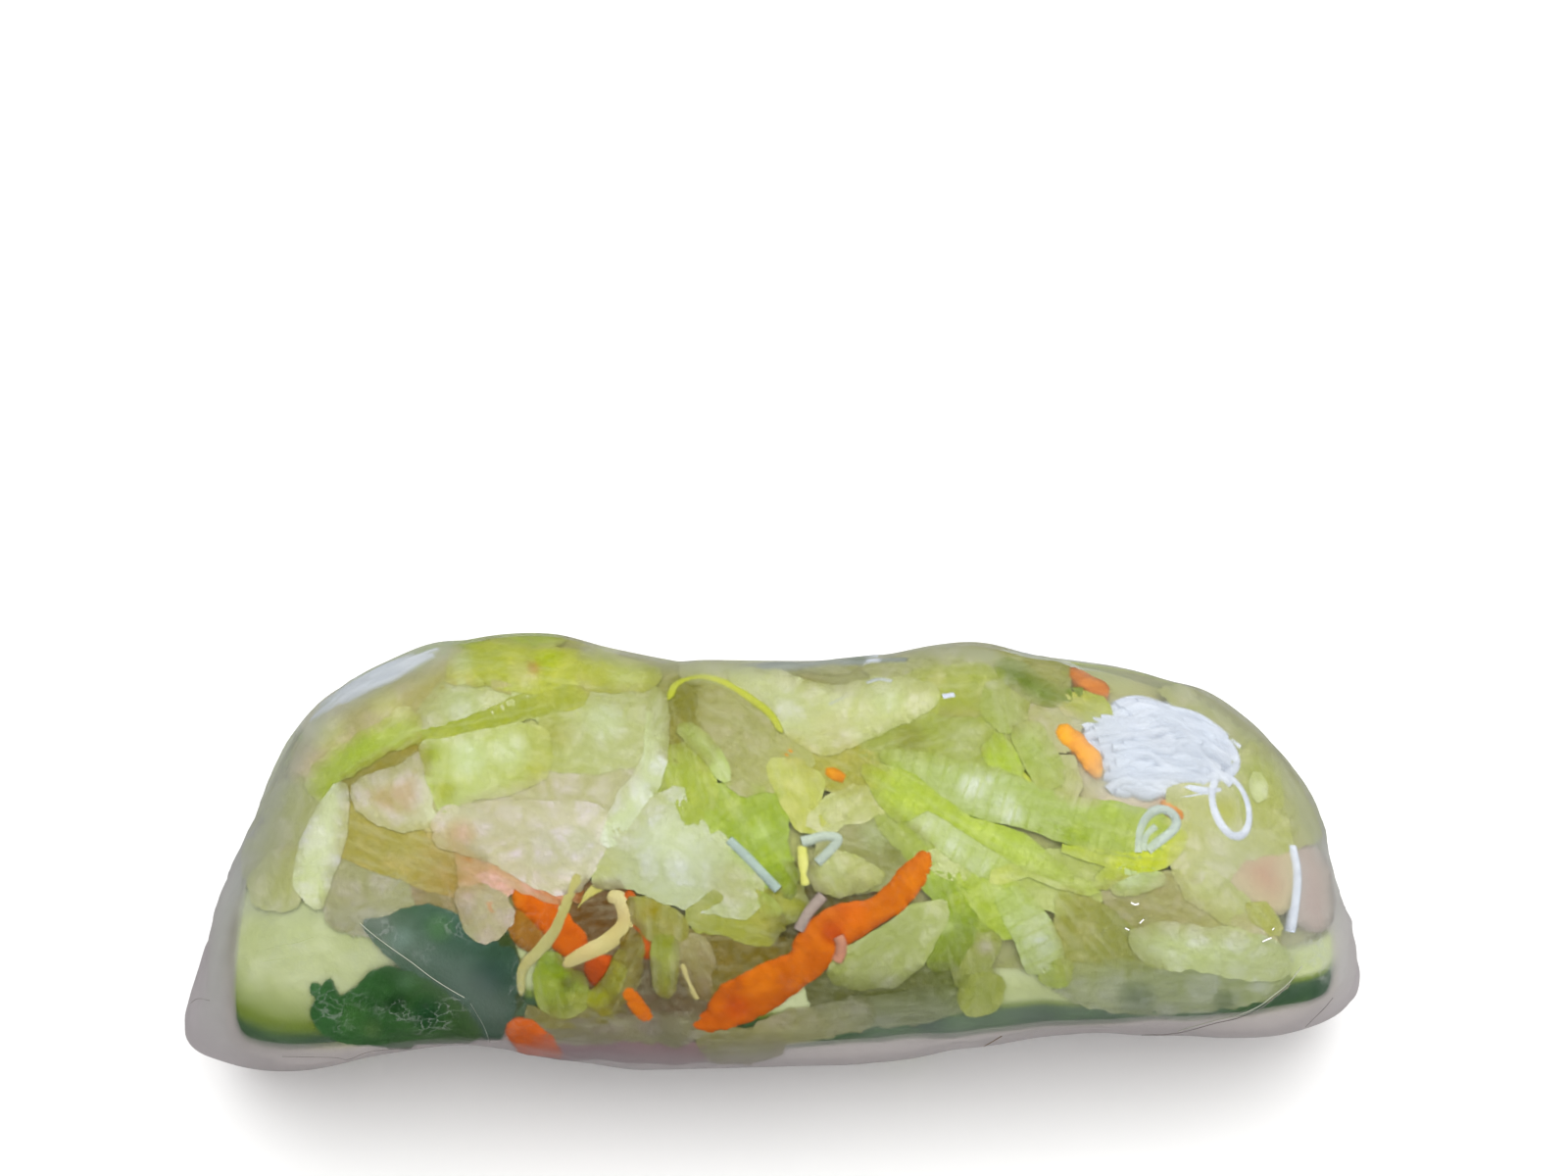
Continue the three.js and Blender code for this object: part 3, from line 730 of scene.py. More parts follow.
hiddenLook = {
    "seed": 9,
    "count": 120,
    "turn": 1.3,
    "along": (-57, 57),
    "around": (38, 104),
    "length": (8, 19),
    "width": (4, 8),
    "depth": (0.4, 2.0),
    "sinkBefore": 50,
    "sunk": 1.6,
    "step": 0.8,
}
hiddenColors = [
    [paleGreen, whiteGreen],
    [freshGreen, paleGreen],
    [vividGreen, freshGreen],
    [beigeLeaf, creamLeaf],
    [oliveLeaf, freshGreen],
    [lemonLeaf, paleGreen],
    [topGreen, lemonLeaf],
]
sunkColors = [[oliveLeaf, (166, 166, 100)], [(160, 156, 96), (176, 176, 118)]]


def leafOutline(rng, x, y, length, width, turn):
    # a plain long leaf outline, a little crooked
    corners = 9
    points = []
    for step in range(corners):
        angle = step / corners * 2 * math.pi
        along = math.cos(angle) * length / 2 * rng.uniform(0.85, 1.1)
        across = math.sin(angle) * width / 2 * rng.uniform(0.75, 1.15)
        px = x + along * math.cos(turn) - across * math.sin(turn)
        py = y + along * math.sin(turn) + across * math.cos(turn)
        points.append((min(max(px, -58), 58), py))
    return points


def hiddenLeaves(look):
    # leaves for the back and the underside, where the main view does not reach
    rng = random.Random(look["seed"])
    made = []
    for number in range(look["count"]):
        turn = rng.uniform(-look["turn"], look["turn"])
        x = rng.uniform(*look["along"])
        y = rng.uniform(*look["around"])
        outline = leafOutline(rng, x, y, rng.uniform(*look["length"]), rng.uniform(*look["width"]), turn)
        sunk = look["sunk"] if y < look["sinkBefore"] else 0
        depth = rng.uniform(*look["depth"]) + sunk
        colors = rng.choice(sunkColors if sunk else hiddenColors)
        more = {"chart": "round", "step": look["step"]}
        made.append(leaf(f"hidden leaf {number}", depth, colors, math.degrees(turn), outline, **more))
    return made


def showThrough(bm, kind):
    # wet leaves are clear, most of all at their thin rims: each takes on colour from what is below it
    tint, crossed, rim = patchLayers(bm)
    bm.faces.ensure_lookup_table()
    below = BVHTree.FromBMesh(bm)
    colors = []
    for vert in bm.verts:
        inward = -underSkin(vert.co, 0)[1]
        start = vert.co + inward * kind["clearFrom"] * mm
        place, normal, face, distance = below.ray_cast(start, inward, kind["clearTo"] * mm)
        own = np.array(vert[tint][:3])
        if place is None:
            colors.append(own)
            continue
        lower = np.mean([v[tint][:3] for v in bm.faces[face].verts], axis=0)
        near = max(1 - vert[rim] / kind["clearWidth"], 0)
        share = kind["clearAll"] + (kind["clearRim"] - kind["clearAll"]) * near
        colors.append(blended(own, lower, share))
    for vert, color in zip(bm.verts, colors):
        vert[tint] = (*color, 1.0)


# No piece reaches past these ends, or nearer to the skin than this. Thin pieces keep a sharp rim
keptIn = {"left": -56.5, "right": 58, "below": 0.15, "thin": 1, "sharpFrom": 50}


def finishPatches(name, bm, kind):
    faceOutwards(bm)
    if "clearAll" in kind:
        showThrough(bm, kind)
    piece = smoothShaded(meshObject(name, bm))
    thick = piece.modifiers.new("thick", "SOLIDIFY")
    thick.thickness = kind["thickness"] * mm
    thick.offset = -1
    applied(piece)
    for vert in piece.data.vertices:
        vert.co.x = min(max(vert.co.x, keptIn["left"] * mm), keptIn["right"] * mm)
        place, normal = skinTree.find_nearest(vert.co)[:2]
        if (vert.co - place).dot(normal) > -keptIn["below"] * mm:
            vert.co = place - normal * keptIn["below"] * mm
    if kind["thickness"] < keptIn["thin"]:
        piece.data.set_sharp_from_angle(angle=math.radians(keptIn["sharpFrom"]))
    return piece


def makePatches(name, pieces, kind, seed):
    bm = startPatches()
    for number, piece in enumerate(pieces):
        addPatch(bm, piece, kind, seed + number)
    return finishPatches(name, bm, kind)


shownLeaves = leftLeaves + middleLeaves + fanLeaves + rightLeaves + lowLeaves
lettuce = makePatches("lettuce", shownLeaves + hiddenLeaves(hiddenLook), lettuceLook, 0)
print("lettuce laid,", len(lettuce.data.polygons), "faces")

carrotOrange = (206, 116, 0)
carrotLight = (220, 140, 14)
carrotDeep = (198, 106, 0)
carrotLook = {
    "step": 0.4,
    "perPoint": 8,
    "straight": 0.3,
    "ragged": 0.22,
    "ragScale": 0.7,
    "waves": 0.3,
    "ruffle": 0.12,
    "cells": 0.8,
    "rim": 0.5,
    "rimDrop": 0.35,
    "edgeWidth": 0.8,
    "grow": 0.2,
    "growAll": 0.0,
    "thickness": 1.3,
}
carrotSlices = [
    leaf("long slice", [0.7, 0.5, 0.45, 0.45], [carrotDeep, carrotOrange, carrotOrange, (214, 130, 0)], -40,
         [(702, 1048), (720, 1034), (724, 1022), (735, 1009), (752, 999), (776, 987), (797, 978),
          (808, 971), (812, 957), (821, 945), (840, 929), (864, 921), (890, 917), (901, 904), (920, 884),
          (938, 869), (951, 870), (953, 884), (945, 901), (925, 926), (900, 945), (880, 957), (863, 968),
          (850, 986), (830, 1001), (800, 1025), (775, 1040), (745, 1052), (722, 1057), (706, 1054)],
         edge=carrotDeep, edgeShare=0.4,
         spots=[(775, 1002, 22, (222, 128, 0)), (870, 932, 20, (212, 114, 0)),
                (752, 1030, 16, (196, 96, 0)), (850, 952, 16, (192, 94, 0))]),
    leaf("left slice", [0.9, 0.9, 1.4], [(208, 122, 30), (212, 112, 6), (198, 106, 10)], 50,
         [(524, 912), (540, 902), (560, 906), (570, 922), (584, 940), (598, 958), (600, 978), (586, 986),
          (572, 976), (556, 956), (540, 938), (526, 926)], spots=[(548, 920, 18, (212, 112, 20))]),
    leaf("faded slice", [1.0, 1.2], [(158, 116, 60), (166, 126, 76)], 60,
         [(512, 938), (530, 930), (550, 948), (556, 966), (540, 972), (522, 958)]),
    leaf("inner slice", [1.1, 1.2], [(196, 96, 4), (176, 92, 10)], 120,
         [(626, 978), (616, 998), (604, 1008), (596, 994), (604, 980)]),
    leaf("thin slice", [0.8, 1.0, 1.0], [(196, 104, 14), (200, 102, 10), (184, 100, 18)], 70,
         [(637, 908), (646, 914), (655, 932), (660, 950), (664, 972), (662, 986), (654, 972), (648, 950),
          (640, 930)], ragged=0.08),
    leaf("thin end", [0.6, 0.7], [(214, 122, 20), (218, 126, 24)], 50,
         [(634, 1014), (644, 1010), (656, 1024), (668, 1044), (658, 1048), (646, 1036)], ragged=0.08),
    leaf("low end", 0.45, [(222, 116, 0), (206, 104, 0), (190, 94, 6)], 50,
         [(514, 1050), (522, 1044), (540, 1042), (552, 1052), (568, 1066), (574, 1082), (556, 1086),
          (534, 1084), (524, 1070)]),
    leaf("top slice", 0.4, [(244, 176, 50), (242, 168, 24), (240, 178, 60)], 55,
         [(1076, 742), (1086, 736), (1100, 744), (1112, 758), (1124, 770), (1126, 786), (1120, 794),
          (1108, 782), (1096, 766), (1082, 754)]),
    leaf("back slice", 0.45, [(206, 140, 90), (210, 132, 60)], 25,
         [(1082, 679), (1100, 680), (1120, 690), (1134, 704), (1124, 708), (1106, 698), (1090, 686)]),
    leaf("bit", 0.7, [(220, 152, 60), (216, 150, 70)], 30,
         [(840, 784), (850, 782), (862, 790), (862, 797), (850, 794)], ragged=0.05),
    leaf("small bit", 0.7, [(216, 158, 66), (216, 158, 70)], -40,
         [(796, 770), (802, 762), (812, 758), (812, 766), (802, 774)], ragged=0.05),
    leaf("noodle bit", 0.8, [(216, 160, 100), (214, 150, 80)], 45,
         [(1184, 818), (1196, 816), (1210, 828), (1210, 842), (1200, 836), (1188, 828)], ragged=0.05),
    leaf("back long slice", 0.5, [carrotOrange, carrotDeep], 8,
         [(-44, 63), (-30, 66), (-12, 68), (4, 65), (4, 69), (-12, 72), (-30, 70), (-43, 67)],
         chart="round"),
    leaf("back short slice", 0.6, [carrotOrange, carrotLight], 20,
         [(22, 56), (30, 60), (37, 66), (34, 69), (27, 64), (20, 60)], chart="round"),
    leaf("under slice", 0.7, [carrotOrange, carrotDeep], -12,
         [(-22, 90), (-6, 86), (12, 84), (13, 88), (-6, 90), (-20, 94)], chart="round"),
]


carrot = makePatches("carrotSlices", carrotSlices, carrotLook, 300)
print("carrot laid,", len(carrot.data.polygons), "faces")

herbLook = {
    "step": 0.4,
    "perPoint": 10,
    "straight": 0.6,
    "ragged": 0.18,
    "ragScale": 0.8,
    "waves": 0.4,
    "ruffle": 0.3,
    "cells": 0.6,
    "rim": 0.5,
    "rimDrop": 0.2,
    "edgeWidth": 0.8,
    "grow": 0.2,
    "growAll": 0.0,
    "thickness": 0.18,
}
herbGreen = (54, 90, 56)
herbDeep = (64, 92, 80)
herbLeaves = [
    leaf("front leaf", 0.35, [(78, 114, 76), (72, 104, 68), (78, 102, 66)], 10,
         [(318, 1000), (326, 1008), (332, 996), (338, 1006), (346, 1020), (362, 1010), (376, 994),
          (396, 988), (424, 996), (452, 1012), (478, 1034), (492, 1060), (468, 1072), (428, 1074),
          (384, 1071), (344, 1066), (322, 1052), (314, 1036), (320, 1022), (314, 1014)],
         spots=[(360, 1040, 20, (86, 122, 76)), (436, 1036, 22, (58, 88, 62)),
                (404, 1026, 14, (52, 82, 48)), (380, 1052, 12, (92, 118, 78)),
                (412, 1004, 12, (88, 120, 86))]),
    leaf("back leaf", 0.8, [(98, 118, 96), (84, 108, 94), (78, 98, 84)], 25,
         [(366, 940), (390, 938), (412, 928), (440, 924), (470, 936), (484, 958), (506, 962), (524, 972),
          (530, 996), (524, 1030), (512, 1062), (492, 1062), (474, 1034), (446, 1012), (410, 990),
          (380, 962)],
         spots=[(448, 948, 18, (94, 124, 92)), (410, 958, 16, (106, 130, 116)),
                (500, 1000, 24, (74, 96, 88))]),
    leaf("leaf by curl", 1.0, [(80, 92, 66), (76, 88, 62)], 80,
         [(500, 940), (516, 950), (530, 984), (532, 1020), (522, 1040), (506, 1020), (500, 980)]),
    leaf("back side leaf", 0.5, [herbGreen, herbDeep], 20,
         [(-40, 66), (-34, 62), (-26, 64), (-20, 70), (-24, 76), (-32, 78), (-39, 73)], chart="round"),
    leaf("far side leaf", 0.5, [herbGreen, herbDeep], 80,
         [(38, 60), (46, 62), (50, 70), (46, 78), (40, 74), (37, 66)], chart="round"),
    leaf("left end leaf", 0.6, [herbDeep, herbGreen], 80,
         [(-55, 70), (-48, 68), (-44, 76), (-46, 86), (-52, 84)], chart="round"),
]
herbs = makePatches("herbLeaves", herbLeaves, herbLook, 500)

crabLook = {
    "step": 0.55,
    "perPoint": 8,
    "straight": 0.2,
    "ragged": 0.2,
    "ragScale": 0.4,
    "waves": 0.2,
    "ruffle": 0.2,
    "cells": 0.5,
    "rim": 1.2,
    "rimDrop": 0.2,
    "edgeWidth": 1.5,
    "grow": 0.5,
    "growAll": 0.0,
    "thickness": 2.0,
}
crabPieces = [
    leaf("right piece", 1.2, [(184, 146, 116), (188, 128, 104), (184, 134, 120)], 20,
         [(1246, 884), (1262, 868), (1292, 858), (1318, 862), (1322, 900), (1314, 928), (1290, 924),
          (1262, 904)], edge=(190, 184, 146), edgeShare=0.95, edgeWidth=5.0),
    leaf("end piece", 1.8, [(178, 158, 148), (172, 146, 142)], 80,
         [(1328, 868), (1348, 872), (1358, 900), (1360, 936), (1346, 946), (1330, 930), (1326, 900)],
         edge=(180, 174, 164), edgeShare=0.9, edgeWidth=3.2),
    leaf("base piece", 1.2, [(140, 112, 118), (146, 122, 124)], 3,
         [(560, 1066), (600, 1064), (650, 1068), (710, 1070), (716, 1084), (660, 1084), (600, 1080),
          (566, 1080)]),
    leaf("blush under noodles", 1.8, [(208, 196, 168), (206, 186, 164)], 10,
         [(1100, 812), (1140, 800), (1200, 796), (1226, 816), (1200, 826), (1150, 824), (1110, 820)],
         edge=(204, 198, 160), edgeShare=0.8, edgeWidth=2.0, sunk=0.5),
    leaf("back piece", 0.9, [(214, 150, 126), (206, 160, 140)], 10,
         [(2, 76), (16, 74), (32, 78), (34, 86), (18, 88), (4, 84)], chart="round"),
]
crab = makePatches("crabPieces", crabPieces, crabLook, 600)
print("herbs and crab laid")

noodleLook = {
    "radius": 0.58,
    "sides": 3,
    "steps": 10,
    "color": linear(228, 234, 244),
    "bundleReach": 34,
    "strandReach": 13,
}
noodles = [
    {"name": "straight", "route": [(744, 856), (756, 868), (768, 880), (781, 894), (794, 908)],
     "depth": 0.12, "color": (186, 204, 190)},
    {"name": "hook", "route": [(818, 858), (829, 855), (840, 852), (856, 854), (850, 864), (834, 880)],
     "depth": 0.12, "color": (196, 208, 190)},
    {"name": "short", "route": [(840, 914), (833, 922), (826, 930), (820, 940), (815, 950)], "depth": 0.1,
     "color": (184, 168, 156)},
    {"name": "on carrot", "route": [(855, 956), (858, 963), (858, 970), (857, 976), (854, 982)],
     "depth": 0.0, "color": (206, 150, 124)},
    {"name": "right straight", "route": [(1322, 862), (1327, 890), (1325, 920), (1320, 952)], "depth": 0.1},
    {"name": "ring",
     "route": [(1226, 796), (1250, 784), (1268, 802), (1277, 826), (1274, 850), (1258, 854), (1244, 836),
               (1236, 812), (1242, 794)], "depth": 0.1},
    {"name": "bundle edge", "route": [(1190, 726), (1232, 738), (1258, 758), (1264, 780), (1250, 794)],
     "depth": 0.1},
    {"name": "small loop",
     "route": [(1162, 870), (1162, 846), (1174, 828), (1192, 824), (1204, 838), (1194, 850), (1180, 860),
               (1172, 868)], "depth": 0.1, "color": (208, 220, 206)},
    {"name": "loop leg", "route": [(1168, 868), (1170, 852), (1180, 842)], "depth": 0.2,
     "color": (200, 212, 188)},
    {"name": "top bits", "route": [(846, 716), (868, 706), (892, 698)], "depth": 0.4,
     "color": (204, 210, 204)},
    {"name": "top bits low", "route": [(850, 724), (875, 714), (896, 706)], "depth": 0.45,
     "color": (198, 206, 198)},
    {"name": "top bit", "route": [(884, 694), (896, 690), (910, 692)], "depth": 0.35,
     "color": (206, 212, 206)},
    {"name": "far bit", "route": [(962, 708), (974, 706)], "depth": 0.3},
]
noodleBundles = [
    {"name": "right bundle", "route": [(1108, 752), (1160, 742), (1210, 744), (1262, 776)], "count": 46,
     "spread": 3.2, "depth": (0.0, 1.0)},
    {"name": "bundle crest", "route": [(1138, 722), (1166, 714), (1200, 726), (1240, 742), (1264, 764)],
     "count": 16, "spread": 1.2, "depth": (0.0, 0.8)},
    {"name": "bundle foot", "route": [(1128, 790), (1160, 784), (1200, 786), (1250, 790)], "count": 30,
     "spread": 2.2, "depth": (0.2, 1.0)},
    {"name": "left bundle", "route": [(318, 730), (352, 704), (398, 680), (446, 660)], "count": 18,
     "spread": 2.0, "depth": (0.0, 0.7)},
    {"name": "back bundle", "route": [(740, 676), (790, 676), (850, 672), (930, 666)], "count": 9,
     "spread": 1.6, "depth": (0.2, 1.2), "color": (158, 165, 152)},
    {"name": "lemon bundle", "route": [(790, 696), (830, 700), (870, 696)], "count": 5, "spread": 1.0,
     "depth": (1.0, 1.6)},
    {"name": "far side bundle", "chart": "round", "route": [(-50, 50), (-36, 60), (-18, 70)], "count": 12,
     "spread": 3.0, "depth": (0.1, 1.2)},
    {"name": "far side tangle", "chart": "round", "route": [(14, 58), (30, 54), (50, 60)], "count": 12,
     "spread": 2.6, "depth": (0.1, 1.2)},
    {"name": "under tangle", "chart": "round", "route": [(-46, 92), (-20, 96), (10, 92)], "count": 10,
     "spread": 3.0, "depth": (0.2, 1.0)},
]
bundleLook = {"seed": 21, "steps": 14, "shorterBy": 5, "golden": 0.618, "wander": 0.8, "sink": 0.4}


def bundleRoutes():
    # the strands of each bundle wander side by side along its route
    rng = random.Random(bundleLook["seed"])
    routes = []
    last = bundleLook["steps"]
    for bundle in noodleBundles:
        places = placesOf(bundle, last)
        for strand in range(bundle["count"]):
            slot = (strand * bundleLook["golden"]) % 1 * 2 - 1
            offset = (slot + rng.uniform(-0.1, 0.1)) * bundle["spread"]
            depth = rng.uniform(*bundle["depth"])
            phase = rng.uniform(0, 100)
            first = rng.randrange(0, bundleLook["shorterBy"])
            route = []
            for row in range(first, len(places) - rng.randrange(0, bundleLook["shorterBy"])):
                ahead = places[min(row + 1, last)] - places[max(row - 1, 0)]
                normal = skinTree.find_nearest(places[row])[1]
                side = normal.cross(ahead).normalized()
                aside = bundle["spread"] * bundleLook["wander"]
                wander = offset + aside * noise.noise(Vector((row * 0.25, phase, 0)))
                sink = depth + bundleLook["sink"] * noise.noise(Vector((row * 0.3, phase, 5)))
                place = places[row] + side * wander * mm
                route.append(underSkin(place, noodleLook["radius"] + max(sink, 0.05))[0])
            routes.append(route)
    return routes


def tubesAlong(name, routes, radius, sides):
    curve = bpy.data.curves.new(name, "CURVE")
    curve.dimensions = "3D"
    curve.bevel_depth = radius * mm
    curve.bevel_resolution = sides
    curve.use_fill_caps = True
    curve.resolution_u = 3
    for route in routes:
        strand = curve.splines.new("NURBS")
        strand.points.add(len(route) - 1)
        for point, place in zip(strand.points, route):
            point.co = (*place, 1)
        strand.use_endpoint_u = True
        strand.order_u = 4
    made = bpy.data.objects.new(name, curve)
    bpy.context.scene.collection.objects.link(made)
    mesh = bpy.data.meshes.new_from_object(made.evaluated_get(bpy.context.evaluated_depsgraph_get()))
    bpy.data.objects.remove(made)
    piece = bpy.data.objects.new(name, mesh)
    bpy.context.scene.collection.objects.link(piece)
    return smoothShaded(piece)


def makeNoodles():
    routes = bundleRoutes()
    for noodle in noodles:
        depth = noodleLook["radius"] + noodle["depth"]
        routes.append([underSkin(place, depth)[0] for place in placesOf(noodle, noodleLook["steps"])])
    piece = tubesAlong("riceNoodles", routes, noodleLook["radius"], noodleLook["sides"])
    tint = piece.data.attributes.new("tint", "FLOAT_COLOR", "POINT")
    seen = seenAt(np.array([v.co for v in piece.data.vertices]))
    colored = []
    for noodle in noodleBundles + noodles:
        if "color" in noodle:
            reach = noodleLook["bundleReach" if "count" in noodle else "strandReach"]
            colored.append((noodle["route"], reach, (*under(noodle["color"]), 1)))
    for point, value in zip(seen, tint.data):
        value.color = noodleLook["color"]
        for route, reach, color in colored:
            if min(math.dist(point, place) for place in route) < reach:
                value.color = color
    return piece


riceNoodles = makeNoodles()
print("noodles laid,", len(riceNoodles.data.polygons), "faces")

# Narrow lettuce ribs and stalks: a route, and half its width from the start to the end, in millimetres
ribLook = {
    "steps": 24,
    "sides": 8,
    "flat": 0.45,
    "endShare": 0.35,
    "pale": (206, 206, 156),
    "paleMost": 0.8,
    "grain": 420,
}
ribs = [
    {"name": "yellow rib",
     "route": [(682, 712), (690, 695), (714, 688), (740, 694), (766, 710), (786, 726), (798, 746)],
     "half": [0.4, 0.55, 0.6, 0.55, 0.35], "depth": 0.24, "color": (180, 186, 78), "pale": 0.25},
    {"name": "cream rib",
     "route": [(590, 892), (578, 920), (566, 950), (548, 974), (532, 992), (531, 1018)],
     "half": [0.8, 0.7, 0.8, 0.6, 0.4], "depth": 0.3, "color": (180, 172, 112)},
    {"name": "cream loop",
     "route": [(620, 914), (634, 920), (638, 944), (618, 964), (590, 978), (574, 988)],
     "half": [0.8, 1.1, 1.2, 1.1, 0.6], "depth": 0.35, "color": (206, 188, 134)},
    {"name": "loop top", "route": [(588, 930), (600, 914), (616, 904), (628, 902)],
     "half": [0.5, 1.0, 0.9, 0.6], "depth": 0.5, "color": (196, 186, 106)},
    {"name": "loop shade", "route": [(640, 914), (636, 904), (626, 906), (618, 916)],
     "half": [0.5, 0.5, 0.5, 0.4], "depth": 0.9, "color": (146, 112, 62), "pale": 0.1},
    {"name": "yellow stick", "route": [(818, 862), (820, 882), (822, 904)], "half": [0.5, 0.6, 0.5],
     "depth": 0.4, "color": (212, 212, 120)},
    {"name": "fan vein", "route": [(874, 764), (890, 780), (902, 792)], "half": [0.3, 0.6, 0.5],
     "depth": 0.5, "color": (172, 182, 74)},
    {"name": "fan rim", "route": [(1036, 780), (1060, 800), (1090, 812), (1140, 822)],
     "half": [0.3, 0.5, 0.5, 0.3], "depth": 0.4, "color": (178, 186, 86)},
    {"name": "fringe rib", "route": [(696, 986), (704, 1006), (712, 1022)], "half": [0.3, 0.5, 0.4],
     "depth": 0.4, "color": (196, 184, 130)},
]


def ringedTube(bm, sides, steps):
    # a closed tube of rings, and where the corners of its first ring are
    ring = bmesh.ops.create_circle(bm, segments=sides, radius=1, cap_ends=True)["verts"]
    corners = [(v.co.x, v.co.y) for v in ring]
    rings = [ring]
    edges = list(bm.edges)[-sides:]
    for step in range(steps):
        grown = bmesh.ops.extrude_edge_only(bm, edges=edges)["geom"]
        edges = [g for g in grown if isinstance(g, bmesh.types.BMEdge)]
        rings.append([g for g in grown if isinstance(g, bmesh.types.BMVert)])
    bmesh.ops.contextual_create(bm, geom=edges)
    return rings, corners


def cornerOf(vert, corners):
    return min(range(len(corners)), key=lambda i: math.dist(corners[i], vert.co[:2]))


def makeRibs(look):
    bm = startPatches()
    tint = patchLayers(bm)[0]
    pale = under(look["pale"])
    for rib in ribs:
        places = placesOf(rib, look["steps"])
        rings, corners = ringedTube(bm, look["sides"], look["steps"])
        color = under(rib["color"])
        halves = np.interp(np.linspace(0, 1, len(rings)), np.linspace(0, 1, len(rib["half"])), rib["half"])
        for row, verts in enumerate(rings):
            ahead = places[min(row + 1, len(places) - 1)] - places[max(row - 1, 0)]
            normal = skinTree.find_nearest(places[row])[1]
            side = normal.cross(ahead).normalized()
            half = halves[row] * (look["endShare"] if row in (0, len(rings) - 1) else 1)
            middle = underSkin(places[row], rib["depth"] + half * look["flat"])[0]
            for vert in verts:
                x, y = corners[cornerOf(vert, corners)]
                vert.co = middle + (side * x * half + normal * y * half * look["flat"]) * mm
                share = (0.5 + noise.noise(vert.co * look["grain"])) * rib.get("pale", 0.5)
                vert[tint] = (*blended(color, pale, min(max(share, 0), look["paleMost"])), 1)
    bmesh.ops.recalc_face_normals(bm, faces=bm.faces)
    return smoothShaded(meshObject("lettuceRibs", bm))


lettuceRibs = makeRibs(ribLook)
print("ribs laid")

# The cucumber stick lies along the front: flesh up and outwards, rind below
cucumberLook = {
    "from": -55.2,
    "to": 57.6,
    "steps": 90,
    "middleSink": 0.1,
    "middleTo": 34,
    "endRound": 1.4,
    "endShare": 0.25,
    "endTurn": 6.5,
    "endDepth": 4.5,
    "lowerAfter": -34,
    "lowerOver": 20,
    "lowerBy": 0.5,
    "rindAfter": -36,
    "rindOver": 12,
    "rindBelow": 9,
    "wobble": 0.4,
    "drop": 1.5,
    "dropWhere": [(-34, 0), (-20, 1), (34, 1), (46, 0)],
}
cucumberCorners = [
    # round the section: place round the roll in mm, depth under the skin, share of rind
    (-1.6, 1.4, 1.0),
    (0.6, 0.6, 1.0),
    (2.2, 0.5, 0.7),
    (4.2, 0.5, 0.36),
    (6.8, 0.55, 0.16),
    (10.5, 0.6, 0.0),
    (15.0, 0.5, 0.0),
    (17.4, 1.0, 0.0),
    (14.0, 6.5, 0.0),
    (7.0, 9.5, 0.0),
    (0.5, 7.5, 0.9),
    (-2.2, 4.0, 1.0),
]


def makeCucumber(look):
    bm = bmesh.new()
    rind = bm.verts.layers.float.new("rind")
    rings, corners = ringedTube(bm, len(cucumberCorners), look["steps"])
    length = look["to"] - look["from"]
    for row, verts in enumerate(rings):
        share = row / look["steps"]
        along = look["from"] + length * share
        fromEnd = min(share, 1 - share) * length
        ended = look["endShare"] * max(1 - fromEnd / look["endRound"], 0) ** 2
        sink = look["middleSink"] * max(1 - (along / look["middleTo"]) ** 4, 0)
        drop = look["drop"] * float(np.interp(along, *zip(*look["dropWhere"])))
        lower = look["lowerBy"] * min(max((along - look["lowerAfter"]) / look["lowerOver"], 0), 1)
        turned = min(max((along - look["rindAfter"]) / look["rindOver"], 0), 1)
        for vert in verts:
            corner = cornerOf(vert, corners)
            around, depth, green = cucumberCorners[corner]
            vert[rind] = max(green, turned * (around < look["rindBelow"]))
            wobble = look["wobble"] * noise.noise(Vector((along * 0.07, corner * 0.2, 1)))
            around = around * (1 - lower) if around > 0 else around - drop
            around = look["endTurn"] + (around - look["endTurn"]) * (1 - ended) + wobble
            depth = depth + (look["endDepth"] - depth) * ended + sink + 0.3 * wobble
            vert.co = underSkin(turnedOnSkin(along, around), depth)[0]
    bmesh.ops.recalc_face_normals(bm, faces=bm.faces)
    return subdivided(smoothShaded(meshObject("cucumberStick", bm)), 2)


cucumber = makeCucumber(cucumberLook)
print("cucumber laid")

coreLook = {
    "inset": 1.15,
    "relief": 0.2,
    "grain": 260,
    "shorter": 2.6 / 60,
    "shift": 1.0,
    "floor": 1.2,
    "voxel": 0.8,
    "bareBelow": 19.0,
    "bareBeyond": 54.0,
    "bareOver": 3,
}


def makeCore(look):
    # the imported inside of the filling, which the loose pieces lie on
    bm = bmesh.new()
    bm.from_mesh(film.data)
    bm.normal_update()
    moves = []
    for vert in bm.verts:
        crumple = noise.fractal(vert.co * look["grain"], *tearNoise)
        moves.append(vert.normal * (look["relief"] * crumple - look["inset"]) * mm)
    for vert, move in zip(bm.verts, moves):
        vert.co += move
        vert.co.x = vert.co.x * (1 - look["shorter"]) + look["shift"] * mm
        vert.co.z = max(vert.co.z, look["floor"] * mm)
    core = meshObject("packedFilling", bm)
    even = core.modifiers.new("even", "REMESH")
    even.mode = "VOXEL"
    even.voxel_size = look["voxel"] * mm
    smoothShaded(applied(core))
    bare = core.data.attributes.new("bare", "FLOAT", "POINT")
    for vert, value in zip(core.data.vertices, bare.data):
        low = look["bareBelow"] - vert.co.z / mm
        beyond = abs(vert.co.x) / mm - look["bareBeyond"]
        value.value = min(max(low, beyond, 0) / look["bareOver"], 1)
    return core


core = makeCore(coreLook)
print("core made,", len(core.data.polygons), "faces")

# The film is drawn down between the pieces
filmDrape = {
    "search": 9.0,
    "clearance": 0.12,
    "follow": 0.3,
    "sinkMost": 0.6,
    "liftMost": 0.7,
    "smoothing": 24,
    "creaseDepth": 0.16,
    "creaseFrom": 44.0,
    "creaseOver": 12,
    "creaseScale": (90, 520, 520),
    "above": 1.5,
}
